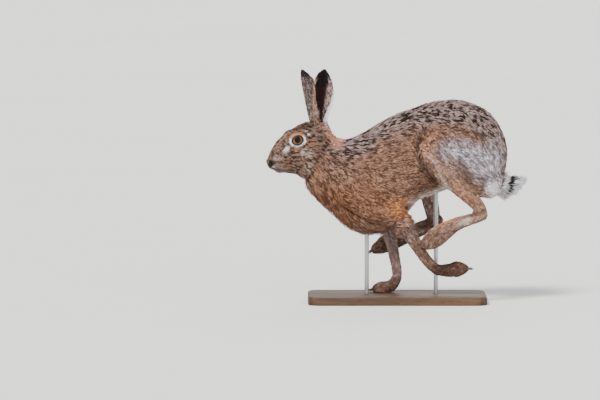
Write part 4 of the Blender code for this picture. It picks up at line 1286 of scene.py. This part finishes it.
def wood_finish():
    """Oiled dark oak: long rings along the base, pores, and a satin face."""
    finish = Finish("oiled_wood")
    warp = finish.noise(1.6, 2.0, finish.stretched((2.2, 16.0, 16.0)))
    rings = finish.noise(1.0, 2.0, finish.stretched((6.0, 120.0, 60.0)))
    pores = finish.noise(1.0, 3.0, finish.stretched((70.0, 1500.0, 1500.0)))
    band = finish.smooth(rings * 0.7 + warp * 0.3, 0.32, 0.68)
    colour = finish.mix(band, (0.030, 0.016, 0.009, 1), (0.105, 0.058, 0.030, 1))
    pits = finish.smooth(pores, 0.28, 0.42)
    colour = finish.mix(pits, (0.012, 0.007, 0.004, 1), colour)
    return finish.surface(colour, 0.62 - band * 0.12, {
        "Specular IOR Level": 0.25,
        "Normal": finish.bump(pits, 0.0002, 0.4),
    })


def steel_finish():
    finish = Finish("brushed_steel")
    brushing = finish.noise(1.0, 2.0, finish.stretched((900.0, 900.0, 14.0)))
    colour = finish.mix(brushing, (0.30, 0.30, 0.31, 1), (0.52, 0.52, 0.53, 1))
    return finish.surface(colour, brushing * 0.2 + 0.24, {
        "Metallic": 1.0,
        "Normal": finish.bump(brushing, 0.00005, 0.3),
    })


# Eyes and their lids

LID_THICK = 1.15
LID_OUT = 13.7  # how far the rim of the lids lies from the eye's middle
LID_STEPS = 48
LID_PINCH = 0.12  # how much flatter the opening is towards its corners


def make_eyes():
    for name, side in SIDES.items():
        middle, radius = EYES[side]
        work = bmesh.new()
        sphere(work, middle, radius, 72, 40)
        piece = piece_from("eyeball_" + name, work)
        settle(piece, eye_finish(middle, head_way(-0.03, side, 0.06)), "eyes", "eye_" + name)


def make_lids():
    """The dark rim round each eye: an almond that leans down towards the nose."""
    work = bmesh.new()
    half_along, half_high = EYE_OPENING
    for side, (middle, _radius) in EYES.items():
        outward, forward, upward = eye_ways(side)
        path = []
        radii = []
        for step in range(LID_STEPS):
            angle = 2 * math.pi * step / LID_STEPS
            pinch = 1 - LID_PINCH * math.cos(angle) ** 2
            along = half_along * math.cos(angle)
            high = half_high * math.sin(angle) * pinch
            off = forward * along * MM + upward * high * MM
            depth = math.sqrt((LID_OUT * MM) ** 2 - off.length_squared)
            path.append(middle + off + outward * depth)
            radii.append(LID_THICK * MM * (1 + 0.25 * abs(math.cos(angle)) ** 4))
        closed_tube(work, path, radii, 8)
    settle(piece_from("eye_rims", work), lid_finish(), "eyes")


# Claws

# For each foot the first and last joint of its row of toes, as along the body and height, the toes' places
# across the foot, their radius, and how far to the side the foot lies
TOES = [
    (((64, 104), (45, 94.5)), (-13.5, -4.6, 4.6, 13.5), 7.6, -61),
    (((-21, 86.5), (-42, 77.5)), (-13.5, -4.6, 4.6, 13.5), 7.6, 61),
    (((111, 48), (128, 49.5)), (-10.2, -3.5, 3.5, 10.2), 6.4, -25),
    (((-23, 9.5), (-41, 8)), (-10.2, -3.5, 3.5, 10.2), 6.4, 25),
]
OUTER_TOE = 0.82  # how far along the row the outer toes reach
CLAW_LENGTH = 10.0
CLAW_DROP = 2.6
CLAW_RADIUS = 1.75
CLAW_TIP = 0.12
STEPS = 8  # of a claw's or whisker's path


def make_claws():
    work = bmesh.new()
    for (start, end), spread, radius, foot_y in TOES:
        way = Vector(end) - Vector(start)
        length = way.length
        way.normalize()
        for offset in spread:
            reach = 1.0 if abs(offset) < max(spread) / 2 else OUTER_TOE
            path = []
            radii = []
            for share in (step / STEPS for step in range(STEPS + 1)):
                out = length * reach + radius * 0.1 + CLAW_LENGTH * share
                path.append(ground(start[0] + way.x * out, foot_y + offset,
                                   start[1] + way.y * out - CLAW_DROP * share ** 2))
                radii.append(MM * (CLAW_RADIUS * (1 - share) ** 0.7 + CLAW_TIP))
            tube(work, path, radii, 12)
    for vertex in work.verts:
        vertex.co.z = max(vertex.co.z, (BASE_TOP + ROOM_ABOVE_BASE) * MM)
    settle(piece_from("claws", work), claw_finish(), "coat_legs")


# Whiskers

BROW_WHISKERS = ((-192, 300, 20), (-189, 301.5, 24), (-186, 302, 18))  # along the body, height, length
WHISKER_RADIUS = 0.09
WHISKER_TIP = 0.02
WHISKER_FALL = 0.16  # how far the end sinks and how far it is swept back, as shares of the length
WHISKER_SWEEP = 0.15


def make_whiskers(tree):
    """Stiff thin hairs from the pads of the muzzle and over the eyes, each rooted on the skin."""
    draws = np.random.default_rng(SEED + 1)
    work = bmesh.new()
    roots = []
    for side in EYES:
        for row in range(4):
            for column in range(4):
                x = -235.5 + 3.4 * column + 0.8 * row
                z = 245.5 - 2.7 * row + 0.3 * column
                length = 24 + 6.5 * column - 2 * row
                roots.append((side, x, z, length, -0.16 - 0.09 * row))
        for spot in BROW_WHISKERS:
            roots.append((side, *spot, 0.22))
    for side, x, z, length, droop in roots:
        start = turned(np.array([[x, side * 40.0, z]]), HEAD_PIVOT)[0]
        hit, normal, _index, _distance = tree.ray_cast(ground(*start), head_way(0, -side, 0))
        if hit is None:
            continue
        length *= draws.uniform(0.8, 1.2) * MM
        way = head_way(0.62, side * 0.62, droop + draws.uniform(-0.08, 0.08))
        path = []
        radii = []
        for share in (step / STEPS for step in range(STEPS + 1)):
            bend = Vector((WHISKER_SWEEP, 0, -WHISKER_FALL)) * length * share ** 2
            path.append(hit - normal * 0.001 + way * length * share + bend)
            radii.append(MM * (WHISKER_RADIUS * (1 - share) + WHISKER_TIP))
        tube(work, path, radii, 5)
    settle(piece_from("whiskers", work), whisker_finish(), "coat_head")


# The animal

skin, skin_nodes, skin_shares = make_skin()
skin_points, skin_normals, _triangles = arrays_of(skin.data)
skin_colours, skin_ticking = markings_and_painted_shade(skin_points, skin_normals, skin_nodes, skin_shares)
shaded = mixed(skin_colours, skin_colours * 0.55 + tone("dark") * 0.25, (0.25 + 0.35 * skin_ticking)[:, None])
point_colours(skin, "marking_and_painted_light", shaded)
skin.data.materials.clear()
settle(skin, pelt_finish(), "coat_body", *FLESH)
build_coat(skin, skin_nodes, skin_shares, coat_finish())
make_eyes()
make_lids()
make_claws()
skin_tree = BVHTree.FromPolygons([vertex.co.copy() for vertex in skin.data.vertices],
                                 [tuple(polygon.vertices) for polygon in skin.data.polygons])
make_whiskers(skin_tree)

# The stand keeps its solids
steel = steel_finish()
stand_finishes = {"stand_base": wood_finish(), "stand_rod_front": steel, "stand_rod_rear": steel}
for stand_name, stand_finish in stand_finishes.items():
    stand_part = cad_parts[stand_name]
    if stand_part.material_slots:
        for stand_slot in stand_part.material_slots:
            stand_slot.material = stand_finish
    else:
        stand_part.data.materials.append(stand_finish)


# Floor, light and camera

FLOOR_HALF = 40.0
FLOOR_GAP = 0.0002  # between the floor and the stand


def make_floor():
    work = bmesh.new()
    work.faces.new([work.verts.new((x * FLOOR_HALF, y * FLOOR_HALF, CAD_BOX[0].z - FLOOR_GAP))
                    for x, y in ((-1, -1), (1, -1), (1, 1), (-1, 1))])
    floor = piece_from("floor", work, False)
    finish = Finish("pale_floor")
    tint = finish.mix(finish.noise(0.6, 2.0), (0.70, 0.69, 0.67, 1), (0.74, 0.73, 0.71, 1))
    floor.data.materials.append(finish.surface(tint, 0.85, {}))


# Wide soft lights that shine the same over the whole floor: where to, softness in degrees, strength, colour
LIGHTS = {
    "key": ((0.45, 0.8, -1.0), 16, 6.0, (1.0, 0.98, 0.95)),
    "fill": ((-0.8, 1.0, -0.45), 50, 0.8, (0.96, 0.98, 1.0)),
    "back": ((-0.2, -1.0, -0.8), 40, 1.0, (1.0, 0.99, 0.97)),
}


def make_lights():
    for name, (towards, softness, strength, colour) in LIGHTS.items():
        data = bpy.data.lights.new(name, "SUN")
        data.angle = math.radians(softness)
        data.energy = strength
        data.color = colour
        linked(name, data).rotation_euler = Vector(towards).to_track_quat("-Z", "Y").to_euler()


def make_world():
    world = bpy.data.worlds.new("studio")
    world.use_nodes = True
    backdrop = world.node_tree.nodes["Background"]
    backdrop.inputs["Color"].default_value = (0.90, 0.93, 0.97, 1)
    backdrop.inputs["Strength"].default_value = 0.85
    bpy.context.scene.world = world


AIM = Vector((-0.1795, 0.0, 0.1889))
CAMERA_RISE = math.radians(4.0)
CAMERA_DISTANCE = 9.0
FRAME_WIDTH = 1.11


def make_camera():
    data = bpy.data.cameras.new("camera")
    data.sensor_width = 36.0
    data.lens = data.sensor_width * CAMERA_DISTANCE / FRAME_WIDTH
    data.clip_end = 100.0
    camera = linked("camera", data)
    back = Vector((0, -math.cos(CAMERA_RISE), math.sin(CAMERA_RISE)))
    camera.location = AIM + back * CAMERA_DISTANCE
    camera.rotation_euler = (-back).to_track_quat("-Z", "Y").to_euler()
    bpy.context.scene.camera = camera


make_floor()
make_world()
make_lights()
make_camera()

bpy.context.view_layer.update()
